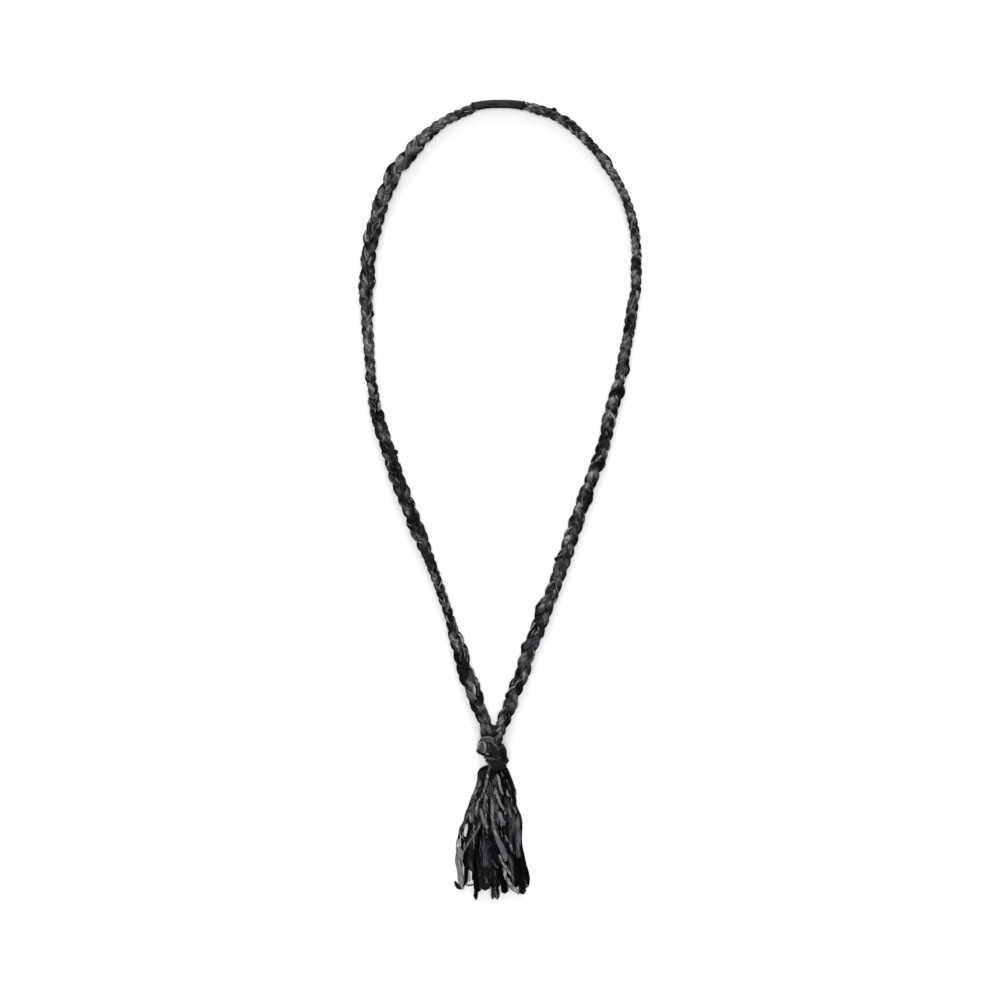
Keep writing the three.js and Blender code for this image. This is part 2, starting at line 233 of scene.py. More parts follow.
# Where a strip of another dye comes up: distance from the wrap, offset to the left of the way
# towards the knot, and half its length.
PATCH_BREADTH = 0.0016
PATCH_FULLNESS = 1.5
PATCH_COVER = (0.3, 1)
Patch = namedtuple("Patch", "at off reach dye")
LEFT_PATCHES = [Patch(*row) for row in (
    (0.0025, -0.0012, 0.002, "iron"), (0.01, -0.0016, 0.003, "iron"), (0.014, 0.0016, 0.0025, "grey"),
    (0.017, -0.0008, 0.003, "slate"), (0.0215, -0.0008, 0.0045, "grey"), (0.027, -0.0012, 0.003, "slate"),
    (0.0345, -0.0002, 0.003, "pale"), (0.04, 0.0017, 0.0035, "grey"), (0.043, -0.0004, 0.003, "grey"),
    (0.047, -0.0012, 0.003, "grey"), (0.055, 0.0015, 0.0025, "slate"), (0.055, -0.0016, 0.0035, "grey"),
    (0.058, 0.0014, 0.0022, "charcoal"), (0.0615, 0.0018, 0.0028, "pale"),
    (0.0655, 0.0008, 0.0025, "iron"), (0.071, -0.0028, 0.0025, "grey"), (0.0745, 0.001, 0.0025, "grey"),
    (0.0775, -0.0016, 0.002, "grey"), (0.0825, 0.0018, 0.0035, "grey"),
    (0.0855, -0.0015, 0.0028, "black"), (0.09, -0.002, 0.004, "grey"), (0.0925, 0.0012, 0.003, "soot"),
    (0.0955, 0.0018, 0.0012, "grey"), (0.0985, 0.0008, 0.003, "charcoal"), (0.1, -0.001, 0.003, "iron"),
    (0.105, 0.0005, 0.003, "soot"), (0.111, 0.0012, 0.0035, "iron"), (0.116, -0.0003, 0.002, "grey"),
    (0.122, 0.002, 0.002, "iron"), (0.1225, -0.001, 0.0028, "soot"), (0.126, 0.0014, 0.0025, "soot"),
    (0.13, -0.0006, 0.003, "grey"), (0.1345, -0.0018, 0.003, "pale"),
    (0.1345, 0.0016, 0.0022, "charcoal"), (0.142, 0.0008, 0.004, "iron"),
    (0.1475, -0.0016, 0.003, "grey"), (0.154, 0.0, 0.003, "grey"), (0.158, 0.0018, 0.002, "grey"),
    (0.162, -0.001, 0.0013, "pale"), (0.162, -0.0028, 0.002, "soot"), (0.162, -0.002, 0.0016, "iron"),
    (0.169, -0.0007, 0.003, "pale"), (0.174, 0.001, 0.003, "grey"), (0.182, -0.0003, 0.0025, "grey"),
    (0.186, 0.0006, 0.002, "grey"), (0.189, 0.0, 0.0015, "soot"), (0.1935, -0.0012, 0.002, "grey"),
    (0.199, -0.0012, 0.002, "iron"), (0.2035, 0.001, 0.002, "soot"), (0.2185, 0.0004, 0.0022, "grey"),
    (0.221, 0.0026, 0.0035, "soot"), (0.2245, 0.0006, 0.0025, "grey"), (0.23, -0.0008, 0.003, "soot"),
    (0.234, 0.002, 0.0022, "charcoal"), (0.237, 0.0014, 0.003, "charcoal"),
    (0.2465, 0.0, 0.0025, "black"), (0.249, -0.0018, 0.0026, "black"), (0.25, -0.002, 0.0022, "charcoal"),
    (0.254, 0.001, 0.0028, "charcoal"), (0.259, -0.002, 0.0022, "iron"), (0.26, 0.0008, 0.0025, "soot"),
    (0.262, 0.0019, 0.0025, "iron"), (0.271, -0.0014, 0.0025, "grey"), (0.276, 0.0016, 0.0045, "black"),
    (0.286, -0.001, 0.0035, "iron"), (0.2845, 0.0017, 0.0038, "black"), (0.2915, 0.0, 0.0028, "grey"),
    (0.2945, 0.0018, 0.0025, "soot"), (0.2985, 0.0014, 0.003, "soot"), (0.303, 0.0, 0.006, "charcoal"),
    (0.306, 0.0018, 0.003, "soot"), (0.308, -0.0018, 0.0026, "charcoal"), (0.311, -0.0014, 0.003, "soot"),
    (0.315, -0.002, 0.002, "grey"), (0.319, 0.0, 0.003, "soot"), (0.3245, -0.0008, 0.0035, "soot"),
    (0.333, 0.0004, 0.002, "grey"), (0.334, 0.002, 0.002, "soot"), (0.346, -0.0014, 0.0025, "soot"),
    (0.3505, -0.0018, 0.002, "grey"), (0.357, 0.0, 0.0028, "grey"), (0.366, 0.001, 0.004, "black"),
    (0.372, 0.0, 0.0035, "soot"), (0.375, -0.0014, 0.003, "soot"), (0.3815, 0.0004, 0.003, "grey"),
    (0.3875, -0.0017, 0.0022, "grey"), (0.39, -0.0018, 0.0018, "iron"), (0.394, 0.0012, 0.0028, "soot"),
    (0.398, 0.001, 0.002, "grey"), (0.402, 0.0008, 0.0024, "soot"), (0.405, 0.0014, 0.002, "grey"),
    (0.4075, -0.0012, 0.0026, "soot"),
)]
RIGHT_PATCHES = [Patch(*row) for row in (
    (0.0025, -0.0014, 0.002, "grey"), (0.0085, 0.0, 0.0018, "grey"), (0.0115, 0.0012, 0.0025, "iron"),
    (0.014, -0.001, 0.0035, "soot"), (0.0195, 0.0012, 0.0028, "slate"), (0.0225, -0.0008, 0.0022, "grey"),
    (0.03, 0.0008, 0.0065, "charcoal"), (0.035, 0.0018, 0.003, "charcoal"),
    (0.038, 0.0004, 0.0028, "grey"), (0.041, -0.0012, 0.0028, "grey"), (0.042, 0.0018, 0.0025, "soot"),
    (0.048, 0.0, 0.005, "charcoal"), (0.056, 0.0, 0.0028, "grey"), (0.062, 0.0008, 0.003, "pale"),
    (0.068, 0.0, 0.0028, "grey"), (0.075, -0.0004, 0.0022, "grey"), (0.0815, 0.001, 0.003, "grey"),
    (0.0865, -0.0008, 0.003, "soot"), (0.09, -0.002, 0.002, "soot"), (0.0935, -0.0004, 0.0022, "grey"),
    (0.0975, 0.0014, 0.0022, "grey"), (0.104, 0.0012, 0.0026, "soot"), (0.111, -0.0006, 0.003, "grey"),
    (0.117, -0.0008, 0.0022, "pale"), (0.124, 0.0, 0.003, "soot"), (0.1295, -0.0008, 0.0022, "grey"),
    (0.134, 0.0, 0.0022, "grey"), (0.1505, -0.001, 0.0028, "grey"), (0.158, 0.0016, 0.0022, "charcoal"),
    (0.162, 0.0008, 0.003, "soot"), (0.1645, 0.0014, 0.0022, "charcoal"), (0.166, -0.0018, 0.002, "soot"),
    (0.1665, -0.0004, 0.002, "charcoal"), (0.169, -0.001, 0.0022, "grey"),
    (0.174, -0.0005, 0.0028, "grey"), (0.181, -0.0007, 0.0022, "grey"), (0.186, -0.0008, 0.0028, "iron"),
    (0.19, 0.0, 0.002, "charcoal"), (0.1905, 0.001, 0.0028, "black"), (0.192, 0.0, 0.003, "grey"),
    (0.1985, -0.0018, 0.0018, "pale"), (0.201, 0.0016, 0.004, "black"), (0.202, 0.0, 0.0025, "black"),
    (0.207, -0.0016, 0.002, "grey"), (0.21, -0.0014, 0.0022, "grey"), (0.217, -0.0014, 0.0022, "grey"),
    (0.222, -0.0016, 0.0022, "grey"), (0.234, 0.0012, 0.0022, "charcoal"),
    (0.2345, -0.0012, 0.0034, "soot"), (0.2385, 0.0012, 0.003, "iron"), (0.246, 0.0016, 0.0035, "black"),
    (0.254, -0.0018, 0.0025, "pale"), (0.259, 0.0002, 0.003, "soot"), (0.2605, -0.002, 0.002, "pale"),
    (0.2665, -0.0018, 0.0015, "iron"), (0.273, -0.0014, 0.0022, "grey"),
    (0.2775, -0.0022, 0.0022, "pale"), (0.283, -0.0005, 0.0035, "iron"), (0.29, 0.0, 0.003, "iron"),
    (0.2955, -0.0018, 0.0022, "pale"), (0.298, 0.001, 0.0032, "soot"),
    (0.298, -0.0004, 0.0016, "charcoal"), (0.299, 0.0014, 0.0011, "grey"),
    (0.3025, -0.0018, 0.0018, "iron"), (0.306, 0.0002, 0.0018, "charcoal"),
    (0.31, 0.0018, 0.0022, "grey"), (0.314, -0.0025, 0.0028, "grey"), (0.32, 0.0015, 0.0035, "slate"),
    (0.326, -0.001, 0.0028, "charcoal"), (0.333, 0.0018, 0.004, "slate"),
    (0.3345, -0.0018, 0.0025, "iron"), (0.339, 0.0018, 0.0025, "soot"), (0.339, -0.002, 0.0025, "grey"),
    (0.3455, 0.0022, 0.0025, "grey"), (0.3465, -0.0014, 0.003, "black"), (0.346, 0.0004, 0.002, "plum"),
    (0.356, 0.0016, 0.003, "iron"), (0.3585, -0.0016, 0.0022, "soot"), (0.362, 0.0018, 0.0025, "slate"),
    (0.3625, -0.0022, 0.0025, "plum"), (0.3735, -0.0006, 0.0035, "iron"), (0.373, -0.002, 0.003, "grey"),
    (0.3815, 0.0016, 0.0022, "grey"), (0.3865, 0.0003, 0.0035, "black"), (0.394, -0.0016, 0.0022, "grey"),
    (0.395, 0.001, 0.0022, "iron"), (0.398, -0.0014, 0.0022, "soot"), (0.4, 0.003, 0.0025, "grey"),
    (0.4015, -0.0014, 0.0026, "grey"), (0.406, -0.0006, 0.0032, "black"), (0.407, 0.001, 0.0035, "black"),
    (0.411, 0.0014, 0.0034, "black"), (0.4085, 0.0028, 0.0036, "black"),
    (0.4088, -0.0024, 0.0014, "mauve"), (0.412, -0.0026, 0.0018, "mauve"),
    (0.4185, -0.0012, 0.0036, "mauve"),
)]

# Folded ends that stand out of an edge; `side` is +1 to the left of the way towards the knot.
# Each is two short loops of cloth, one turned down and one up.
KNUCKLE_TURNS = (-0.35, 0.3)
KNUCKLE_STEPS = 15
KNUCKLE_SPLAY = 0.2
KNUCKLE_BOW = 0.7
KNUCKLE_INSET = 0.0016
KNUCKLE_START = 0.0006
KNUCKLE_RISE = 0.003
KNUCKLE_HALF_WIDTH = 0.0007
KNUCKLE_SWELL = 0.0004
KNUCKLE_HALF_THICKNESS = 0.0006
Knuckle = namedtuple("Knuckle", "at side reach bulge dye")
LEFT_KNUCKLES = [Knuckle(*row) for row in (
    (0.0615, -1, 0.0045, 0.0014, "black"), (0.084, -1, 0.004, 0.0008, "iron"),
    (0.117, -1, 0.0025, 0.0008, "black"), (0.1335, -1, 0.003, 0.0009, "charcoal"),
    (0.15, 1, 0.0025, 0.0009, "black"), (0.188, -1, 0.003, 0.0007, "soot"),
    (0.2355, 1, 0.0014, 0.0016, "black"),
)]
RIGHT_KNUCKLES = [Knuckle(*row) for row in (
    (0.016, 1, 0.0014, 0.0017, "black"), (0.0585, 1, 0.0055, 0.0011, "soot"),
    (0.188, 1, 0.004, 0.0012, "black"), (0.2015, 1, 0.0045, 0.0016, "black"),
    (0.247, 1, 0.004, 0.0008, "soot"), (0.269, 1, 0.004, 0.001, "soot"),
    (0.309, -1, 0.0014, 0.0016, "black"), (0.34, -1, 0.004, 0.001, "black"),
    (0.365, -1, 0.0028, 0.001, "black"), (0.396, -1, 0.0022, 0.001, "black"),
    (0.4, 1, 0.0028, 0.001, "iron"),
)]
UP = np.array([0.0, 0.0, 1.0])


def unit(vectors):
    """The vectors brought to a length of one."""
    return vectors / np.maximum(np.linalg.norm(vectors, axis=-1, keepdims=True), 1e-12)


def smooth_line(points, step):
    """A centripetal Catmull-Rom curve through the points, cut into even steps."""
    knots = np.array(points, float)
    knots = np.vstack([2 * knots[0] - knots[1], knots, 2 * knots[-1] - knots[-2]])
    fine = []
    for p0, p1, p2, p3 in zip(knots, knots[1:], knots[2:], knots[3:]):
        t1 = np.linalg.norm(p1 - p0) ** 0.5
        t2 = t1 + np.linalg.norm(p2 - p1) ** 0.5
        t3 = t2 + np.linalg.norm(p3 - p2) ** 0.5
        t = np.linspace(t1, t2, SPAN_STEPS, endpoint=False)[:, None]
        a1 = (p0 * (t1 - t) + p1 * t) / t1
        a2 = (p1 * (t2 - t) + p2 * (t - t1)) / (t2 - t1)
        a3 = (p2 * (t3 - t) + p3 * (t - t2)) / (t3 - t2)
        b1 = (a1 * (t2 - t) + a2 * t) / t2
        b2 = (a2 * (t3 - t) + a3 * (t - t1)) / (t3 - t1)
        fine.append((b1 * (t2 - t) + b2 * (t - t1)) / (t2 - t1))
    fine = np.vstack([*fine, knots[-2:-1]])
    reach = distances(fine)
    places = np.linspace(0, reach[-1], max(5, round(reach[-1] / step) + 1))
    return np.column_stack([np.interp(places, reach, column) for column in fine.T])


def distances(line):
    """The distance along a line of each of its points."""
    return np.concatenate([[0], np.cumsum(np.linalg.norm(np.diff(line, axis=0), axis=1))])


def ease(share):
    """From 0 to 1, slow at both ends."""
    share = np.clip(share, 0, 1)
    return share * share * (3 - 2 * share)


def read_rows(rows, key, column, places):
    """A column of a short table, blended smoothly from row to row."""
    keys = np.array([getattr(row, key) for row in rows])
    values = np.array([getattr(row, column) for row in rows])
    low = np.clip(np.searchsorted(keys, places) - 1, 0, len(rows) - 2)
    share = ease((places - keys[low]) / (keys[low + 1] - keys[low]))
    return values[low] * (1 - share) + values[low + 1] * share


def drift(rng, places, reach, amount=1):
    """A smooth wander, by up to `amount` either way, that turns about every `reach`."""
    spots = rng.uniform(-1, 1, int((places[-1] - places[0]) / reach) + 3)
    place = (places - places[0]) / reach
    low = place.astype(int)
    share = ease(place - low)
    return amount * (spots[low] * (1 - share) + spots[low + 1] * share)


def new_cloth():
    """An empty mesh ready for strips: it carries a dye on each vertex and a cloth grain map."""
    bm = bmesh.new()
    bm.verts.layers.float_color.new("dye")
    bm.loops.layers.uv.new("grain")
    return bm


def lay_strip(bm, line, outward, half_width, half_thick, dye, sides=8, curl=0.0, blunt=1.0,
              pleats=0, pleat_depth=0.0, pleat_turn=0.0):
    """One closed strip of cloth or yarn along a line, with its flat face towards `outward`.
    Its ends close over `blunt` times its half width, curl bends its edges off the face, and
    pleats are folds that run along it and wander across as `pleat_turn` changes. Each strip
    starts at a place of its own in the grain, so that no two are streaked alike."""
    count = len(line)
    along = unit(np.gradient(line, axis=0))
    side = unit(np.cross(along, outward))
    face = np.cross(side, along)
    reach = distances(line)
    half_width = np.broadcast_to(half_width, count)
    half_thick = np.broadcast_to(half_thick, count)
    closing = np.minimum(reach, reach[-1] - reach) / (blunt * half_width.mean())
    closing = np.sqrt(np.clip(closing * (2 - closing), 0, 1) * (closing < 1) + (closing >= 1))
    angle = np.linspace(0, 2 * math.pi, sides + 1)
    across = np.cos(angle)[None, :, None]
    up = np.sin(angle)[None, :, None]
    wide = (half_width * closing)[:, None, None]
    thick = (half_thick * closing)[:, None, None]
    pleat_turn = np.broadcast_to(pleat_turn, count)[:, None, None]
    fold = pleat_depth * closing[:, None, None] * np.cos(pleats * math.pi * across + pleat_turn)
    lift = curl * wide * (across ** 2 - 0.5) + fold
    spots = line[:, None] + side[:, None] * wide * across + face[:, None] * (thick * up + lift)
    spots[:, -1] = spots[:, 0]
    spots[..., 2] = np.maximum(spots[..., 2], TABLE_CLEARANCE)
    dye = np.broadcast_to(dye, (count, 3))
    hues = np.repeat(np.column_stack([dye, np.ones(count)]), sides + 1, axis=0)
    girth = 4 * float(half_width.mean())
    start = len(bm.verts) * GRAIN_SHIFT
    grain_x = np.tile(np.linspace(0, girth, sides + 1), count) + start
    grain_y = np.repeat(reach, sides + 1) + start
    strip = new_cloth()
    dye_layer = strip.verts.layers.float_color["dye"]
    grain_layer = strip.loops.layers.uv["grain"]
    made = bmesh.ops.create_grid(strip, x_segments=sides, y_segments=count - 1, size=0.5)
    rows = zip(made["verts"], spots.reshape(-1, 3).tolist(), hues.tolist(), grain_x, grain_y)
    for vert, spot, hue, x, y in rows:
        vert.co = spot
        vert[dye_layer] = hue
        for loop in vert.link_loops:
            loop[grain_layer].uv = (x, y)
    bmesh.ops.remove_doubles(strip, verts=strip.verts, dist=SEAM)
    sewn = bpy.data.meshes.new("strip")
    strip.to_mesh(sewn)
    strip.free()
    bm.from_mesh(sewn)
    bpy.data.meshes.remove(sewn)


def dye_runs(rng, mix, places, shortest, longest):
    """The dye along one ply: lengths of one dye after another, picked by the mix."""
    dye = np.zeros((len(places), 3))
    place = places[0] - rng.uniform(0, longest)
    while place < places[-1]:
        end = place + rng.uniform(shortest, longest)
        chosen = np.array(DYES[pick(rng, mix)]) * rng.uniform(*SHADE_OF_RUN)
        dye[(places >= place) & (places <= end)] = chosen
        place = end
    return dye


def lay_plies(bm, rng, centre, facing, half_width, half_thick, plies, twist, dye_of, run_on=None,
              yarns=THIN_YARNS, ragged=0):
    """A strand: plies side by side round an oval about its centre line, slowly twisting, with
    thin yarns wound over them. `run_on` is the row past which they go on in a second mesh, and
    that mesh. A ragged strand's plies end at different rows."""
    reach = distances(centre)
    along = unit(np.gradient(centre, axis=0))
    side = unit(np.cross(along, facing))
    top = np.cross(side, along)
    half_width = np.broadcast_to(half_width, len(centre))
    half_thick = np.broadcast_to(half_thick, len(centre))
    oval = 2 * math.pi * np.sqrt((half_width ** 2 + half_thick ** 2) / 2)
    ply_thick = PLY_DEPTH * half_thick
    first = rng.uniform(0, 2 * math.pi)
    for ply in range(plies + yarns):
        wound = ply >= plies
        angle = first + 2 * math.pi * ply / plies + twist * reach + drift(rng, reach, *PLY_SWAY)
        if wound:
            angle = rng.uniform(0, 2 * math.pi) + YARN_TURNS * twist * reach
            angle = angle + drift(rng, reach, *YARN_SWAY)
        cos, sin = np.cos(angle), np.sin(angle)
        swell = 1 + drift(rng, reach, *PLY_SWELL) + (YARN_LIFT if wound else 0)
        line = centre + side * ((half_width - ply_thick) * cos * swell)[:, None]
        line = line + top * ((half_thick - ply_thick) * sin * swell)[:, None]
        outward = unit(side * (cos / half_width)[:, None] + top * (sin / half_thick)[:, None])
        wide = oval / plies * rng.uniform(*PLY_BREADTH)
        wide = wide * (1 + drift(rng, reach, *PLY_UNEVEN_WIDTH))
        thick = ply_thick * (1 + drift(rng, reach, *PLY_UNEVEN_DEPTH))
        if wound:
            wide = thick = YARN_RADIUS * (1 + drift(rng, reach, *YARN_UNEVEN))
        dye = dye_of(line, outward, wound)
        sides = 6 if wound else 7
        kept = len(line) - rng.integers(0, ragged + 1)
        lengths = [(bm, slice(None, kept))]
        if run_on:
            row, next_mesh = run_on
            lengths = [(bm, slice(None, row + 2)), (next_mesh, slice(row - 1, None))]
        for mesh, part in lengths:
            lay_strip(mesh, line[part], outward[part], wide[part], thick[part], dye[part], sides)


def pick(rng, mix):
    """The name of a dye, drawn by the odds of a mix."""
    odds = np.array(list(mix.values()))
    return list(mix)[rng.choice(len(mix), p=odds / odds.sum())]


def lay_fibres(bm, rng, line, reach_out, count):
    """Torn cloth sheds: fine hairs that stand off a line of it, all round its upper side."""
    reach = distances(line)
    along = unit(np.gradient(line, axis=0))
    share = np.linspace(0, 1, FIBRE_STEPS)[:, None]
    for fibre in range(count):
        place = rng.uniform(0, reach[-1])
        base, way = (
            np.array([np.interp(place, reach, column) for column in table.T])
            for table in (line, along)
        )
        angle = rng.uniform(0, 2 * math.pi)
        height = abs(math.sin(angle))
        out = np.cross(UP, way) * math.cos(angle) + UP * height
        lean = unit(out + way * rng.uniform(-FIBRE_LEAN, FIBRE_LEAN))
        length = rng.uniform(*FIBRE_LENGTH)
        root = base + out * reach_out * (1 - UPPER_FLATNESS * height) - lean * FIBRE_ROOT * length
        curl = np.cross(lean, UP) * rng.uniform(-FIBRE_CURL, FIBRE_CURL) - UP * FIBRE_CURL
        hair = root + lean * length * share + curl * length * share ** 2
        lay_strip(bm, hair, np.broadcast_to(UP, hair.shape), FIBRE_RADIUS, FIBRE_RADIUS,
                  DYES[pick(rng, FIBRE_MIX)], sides=3)


def plait(name, route, entry, girths, sways, lay, patches, knuckles, seed, knot_mesh):
    """One plait from inside the wrap on into the knot. `lay` is the way its strands cross, and
    `entry` carries its centre line up and under the knot's folds. Past the knot's mouth its
    strands are in the knot's mesh, and inside the wrap it is squeezed narrow."""
    rng = np.random.default_rng(seed)
    ground = smooth_line(route, PLAIT_STEP)
    at = distances(ground) - WRAP_HALF_LENGTH
    ground, at = ground[at > -PLAIT_TUCK], at[at > -PLAIT_TUCK]
    into = smooth_line([route[-3], route[-2], route[-1], *(spot[:2] for spot in entry)], PLAIT_STEP)
    into = into[distances(into) > math.dist(route[-3], route[-2]) + math.dist(route[-2], route[-1])]
    ground = np.vstack([ground, into])
    at = np.concatenate([at, at[-1] + PLAIT_STEP * np.arange(1, len(into) + 1)])
    line = np.column_stack([ground, np.zeros(len(ground))])
    along = unit(np.gradient(line, axis=0))
    left = np.cross(UP, along)
    width = read_rows(girths, "at", "width", at)
    tucked = ease((at + PLAIT_TUCK) / (2 * PLAIT_TUCK))
    width = width * (TUCKED_WIDTH + (1 - TUCKED_WIDTH) * tucked)
    thick = PLAIT_BASE_THICKNESS + PLAIT_THICKNESS_SHARE * width
    thick = thick * (TUCKED_THICKNESS + (1 - TUCKED_THICKNESS) * tucked)
    height = thick / 2
    climb_start = KNOT_MOUTH + CLIMB_REACH
    climb = np.interp(ground[:, 1], [spot[1] for spot in entry][::-1] + [climb_start],
                      [spot[2] for spot in entry][::-1] + [0.0])
    height = np.maximum(height, np.where(ground[:, 1] < climb_start, climb, 0))
    middle = line + UP * height[:, None]
    bared = ease(1 + at / PLAIT_TUCK)
    swayed = middle + left * (read_rows(sways, "at", "off", at) * bared)[:, None]
    turned = lay * np.cumsum(2 * math.pi * PLAIT_STEP / (PLAIT_PITCH * width))
    width = width * (TUCKED_SPREAD + (1 - TUCKED_SPREAD) * bared)
    half_width = STRAND_SHARE * width
    half_thick = STRAND_DEPTH * thick
    mouth = int(np.argmax(ground[:, 1] < KNOT_MOUTH))
    bm = new_cloth()

    def dye_of(spots, outward, wound):
        run = dye_runs(rng, THIN_MIX if wound else PLAIT_MIX, at, *PLAIT_RUNS)
        cover = np.random.default_rng(rng.integers(1000))
        off = ((spots - line) * left).sum(axis=1)
        for patch in patches:
            near = ((at - patch.at) / patch.reach) ** 2 + ((off - patch.off) / PATCH_BREADTH) ** 2
            near = np.clip(PATCH_FULLNESS * np.exp(-near), 0, 1)
            near = near * (spots[:, 2] > height) * (outward[:, 2] > 0) * cover.uniform(*PATCH_COVER)
            run = run + (np.array(DYES[patch.dye]) - run) * near[:, None]
        return run

    for strand in range(STRANDS):
        angle = turned + strand * 2 * math.pi / STRANDS + drift(rng, at, *STRAND_SWAY)
        swing = np.sign(np.sin(angle)) * np.abs(np.sin(angle)) ** EDGE_LINGER
        strand_half = half_width * (1 + drift(rng, at, *STRAND_UNEVEN))
        out = (EDGE_FULLNESS * width - strand_half) * swing
        rise = (thick / 2 - half_thick) * np.sin(2 * angle)
        centre = swayed + left * out[:, None] + UP * rise[:, None]
        twist = rng.choice([-1, 1]) * rng.uniform(*STRAND_TWIST)
        facing = np.broadcast_to(UP, centre.shape)
        lay_plies(bm, rng, centre, facing, strand_half, half_thick, PLIES, twist, dye_of,
                  (mouth, knot_mesh))

    for knuckle in knuckles:
        for turn in KNUCKLE_TURNS:
            share = np.linspace(-1, 1, KNUCKLE_STEPS)
            place = knuckle.at + share * knuckle.reach * (1 + KNUCKLE_SPLAY * turn)
            base = np.column_stack([np.interp(place, at, column) for column in swayed.T])
            over = np.column_stack([np.interp(place, at, column) for column in left.T])
            edge = np.interp(place, at, width) / 2
            bow = np.cos(share * math.pi / 2) ** KNUCKLE_BOW
            out = (edge - KNUCKLE_INSET) + (knuckle.bulge + KNUCKLE_START) * bow
            lifted = turn * KNUCKLE_RISE * bow
            loop = base + over * (knuckle.side * out)[:, None] + UP * lifted[:, None]
            outward = unit(over * knuckle.side + UP * turn * 2)
            wide = KNUCKLE_HALF_WIDTH + KNUCKLE_SWELL * bow
            lay_strip(bm, loop, outward, wide, KNUCKLE_HALF_THICKNESS, DYES[knuckle.dye])
    first = int(np.argmax(at > FIRST_FIBRE))
    lay_fibres(bm, rng, middle[first:mouth], 0.5 * float(width.mean()), PLAIT_FIBRES)
    return finish_cloth(bm, name), middle[:mouth]


def cloth_finish(name, streak_wide, streak_long, streak, rough, gloss=0.05):
    """Dyed cloth: each strip's own dye, mottled in streaks along the grain, with a fine weave.
    A streak is up to `streak` times lighter or darker than the dye."""
    finish = bpy.data.materials.new(name)
    finish.use_nodes = True
    nodes, links = finish.node_tree.nodes, finish.node_tree.links
    shader = nodes["Principled BSDF"]
    set_inputs(shader, {"Roughness": 0.93, "Specular IOR Level": gloss,
                        "Sheen Weight": 0.3 * gloss, "Sheen Roughness": 0.6})

    grain = nodes.new("ShaderNodeUVMap")
    grain.uv_map = "grain"
    dye = nodes.new("ShaderNodeAttribute")
    dye.attribute_name = "dye"

    def noise(wide, long, detail):
        place = nodes.new("ShaderNodeMapping")
        set_inputs(place, {"Scale": (1 / wide, 1 / long, 1)})
        links.new(grain.outputs["UV"], place.inputs["Vector"])
        made = nodes.new("ShaderNodeTexNoise")
        set_inputs(made, {"Scale": 1, "Detail": detail, "Roughness": 0.6})
        links.new(place.outputs["Vector"], made.inputs["Vector"])
        return made.outputs["Fac"]

    streaks = nodes.new("ShaderNodeMapRange")
    set_inputs(streaks, {"From Min": 0.3, "From Max": 0.7, "To Min": 1 / streak, "To Max": streak})
    links.new(noise(streak_wide, streak_long, 2), streaks.inputs["Value"])
    dyed = nodes.new("ShaderNodeVectorMath")
    dyed.operation = "SCALE"
    links.new(dye.outputs["Color"], dyed.inputs[0])
    links.new(streaks.outputs["Result"], dyed.inputs["Scale"])
    links.new(dyed.outputs["Vector"], shader.inputs["Base Color"])

    fibres = nodes.new("ShaderNodeBump")
    set_inputs(fibres, {"Strength": rough, "Distance": WEAVE_RELIEF})
    links.new(noise(*WEAVE_GRAIN, 3), fibres.inputs["Height"])
    links.new(fibres.outputs["Normal"], shader.inputs["Normal"])
    return finish


plait_cloth = cloth_finish("plait_cloth", streak_wide=0.0008, streak_long=0.0024, streak=2.6,
                           rough=0.8)


def finish_cloth(bm, name, finish=plait_cloth):
    """Turns laid strips into a smooth-shaded piece with its cloth on."""
    bmesh.ops.recalc_face_normals(bm, faces=bm.faces)
    for face in bm.faces:
        face.smooth = True
    mesh = bpy.data.meshes.new(name)
    bm.to_mesh(mesh)
    bm.free()
    mesh.materials.append(finish)
    piece = bpy.data.objects.new(name, mesh)
    scene.collection.objects.link(piece)
    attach(piece, "root")
    return piece


# Where the plaits go into the knot, and their centre lines from there on: up over the table and
# in under the folds, the left one deep, the right one over the front.
KNOT_MOUTH = -0.1344
LEFT_ENTRY = [(-0.0066, -0.1415, 0.0050), (-0.0056, -0.1460, 0.0048)]
RIGHT_ENTRY = [(-0.0006, -0.1420, 0.0068), (-0.0012, -0.1465, 0.0078), (-0.0018, -0.1500, 0.0064)]
knot_mesh = new_cloth()
left_plait, left_middle = plait(
    "left_plait", LEFT_ROUTE, LEFT_ENTRY, LEFT_GIRTHS, LEFT_SWAYS, -1, LEFT_PATCHES, LEFT_KNUCKLES,
    LEFT_SEED, knot_mesh
)
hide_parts("braid_left")
right_plait, right_middle = plait(
    "right_plait", RIGHT_ROUTE, RIGHT_ENTRY, RIGHT_GIRTHS, RIGHT_SWAYS, 1, RIGHT_PATCHES,
    RIGHT_KNUCKLES, RIGHT_SEED, knot_mesh
)
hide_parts("braid_right")

# ---------------------------------------------------------------- the wrap at the back
# A short sleeve of smooth charcoal cloth covers the joint of the two plaits at the back of the
# neck. Its folds run lengthwise, those along the inner edge, away from the low lamp, are dyed
# black as painted shade, and a tight turn of thread binds each end.
WRAP_SEED = 17
WRAP_WIDTH = 0.0049
WRAP_THICKNESS = 0.0045
WRAP_CORE = 0.43
WRAP_FOLDS = 7
WRAP_FOLD_START = 0.3
WRAP_FOLD_OUT = 0.40
WRAP_FOLD_WIDTH = 0.25
WRAP_FOLD_DEPTH = 0.10
WRAP_TONE = 1.7
# Folds lying further across the sleeve than this share, on the inner edge away from the low lamp, are
# dyed black as painted shade.
WRAP_PAINTED_SHADE_SIDE = 0.4
WRAP_FLARE = 0.12
WRAP_SHIFT = -0.0018
WRAP_LIFT = 0.0006
WRAP_STEP = 0.0006
BINDING_RADIUS = 0.00028
BINDING_INSET = 0.0006
BINDING_TURNS = 1.7
BINDING_STEPS = 60
BINDING_HEIGHT = 0.49
# Along the wrap, from -1 at its left end to 1 at its right, its folds stray by so much.
WRAP_FOLD_SWAY = (0.5, 0.25)
WRAP_FOLD_UNEVEN = (0.3, 0.04)
WRAP_FOLD_SHADE = (0.4, 0.25)

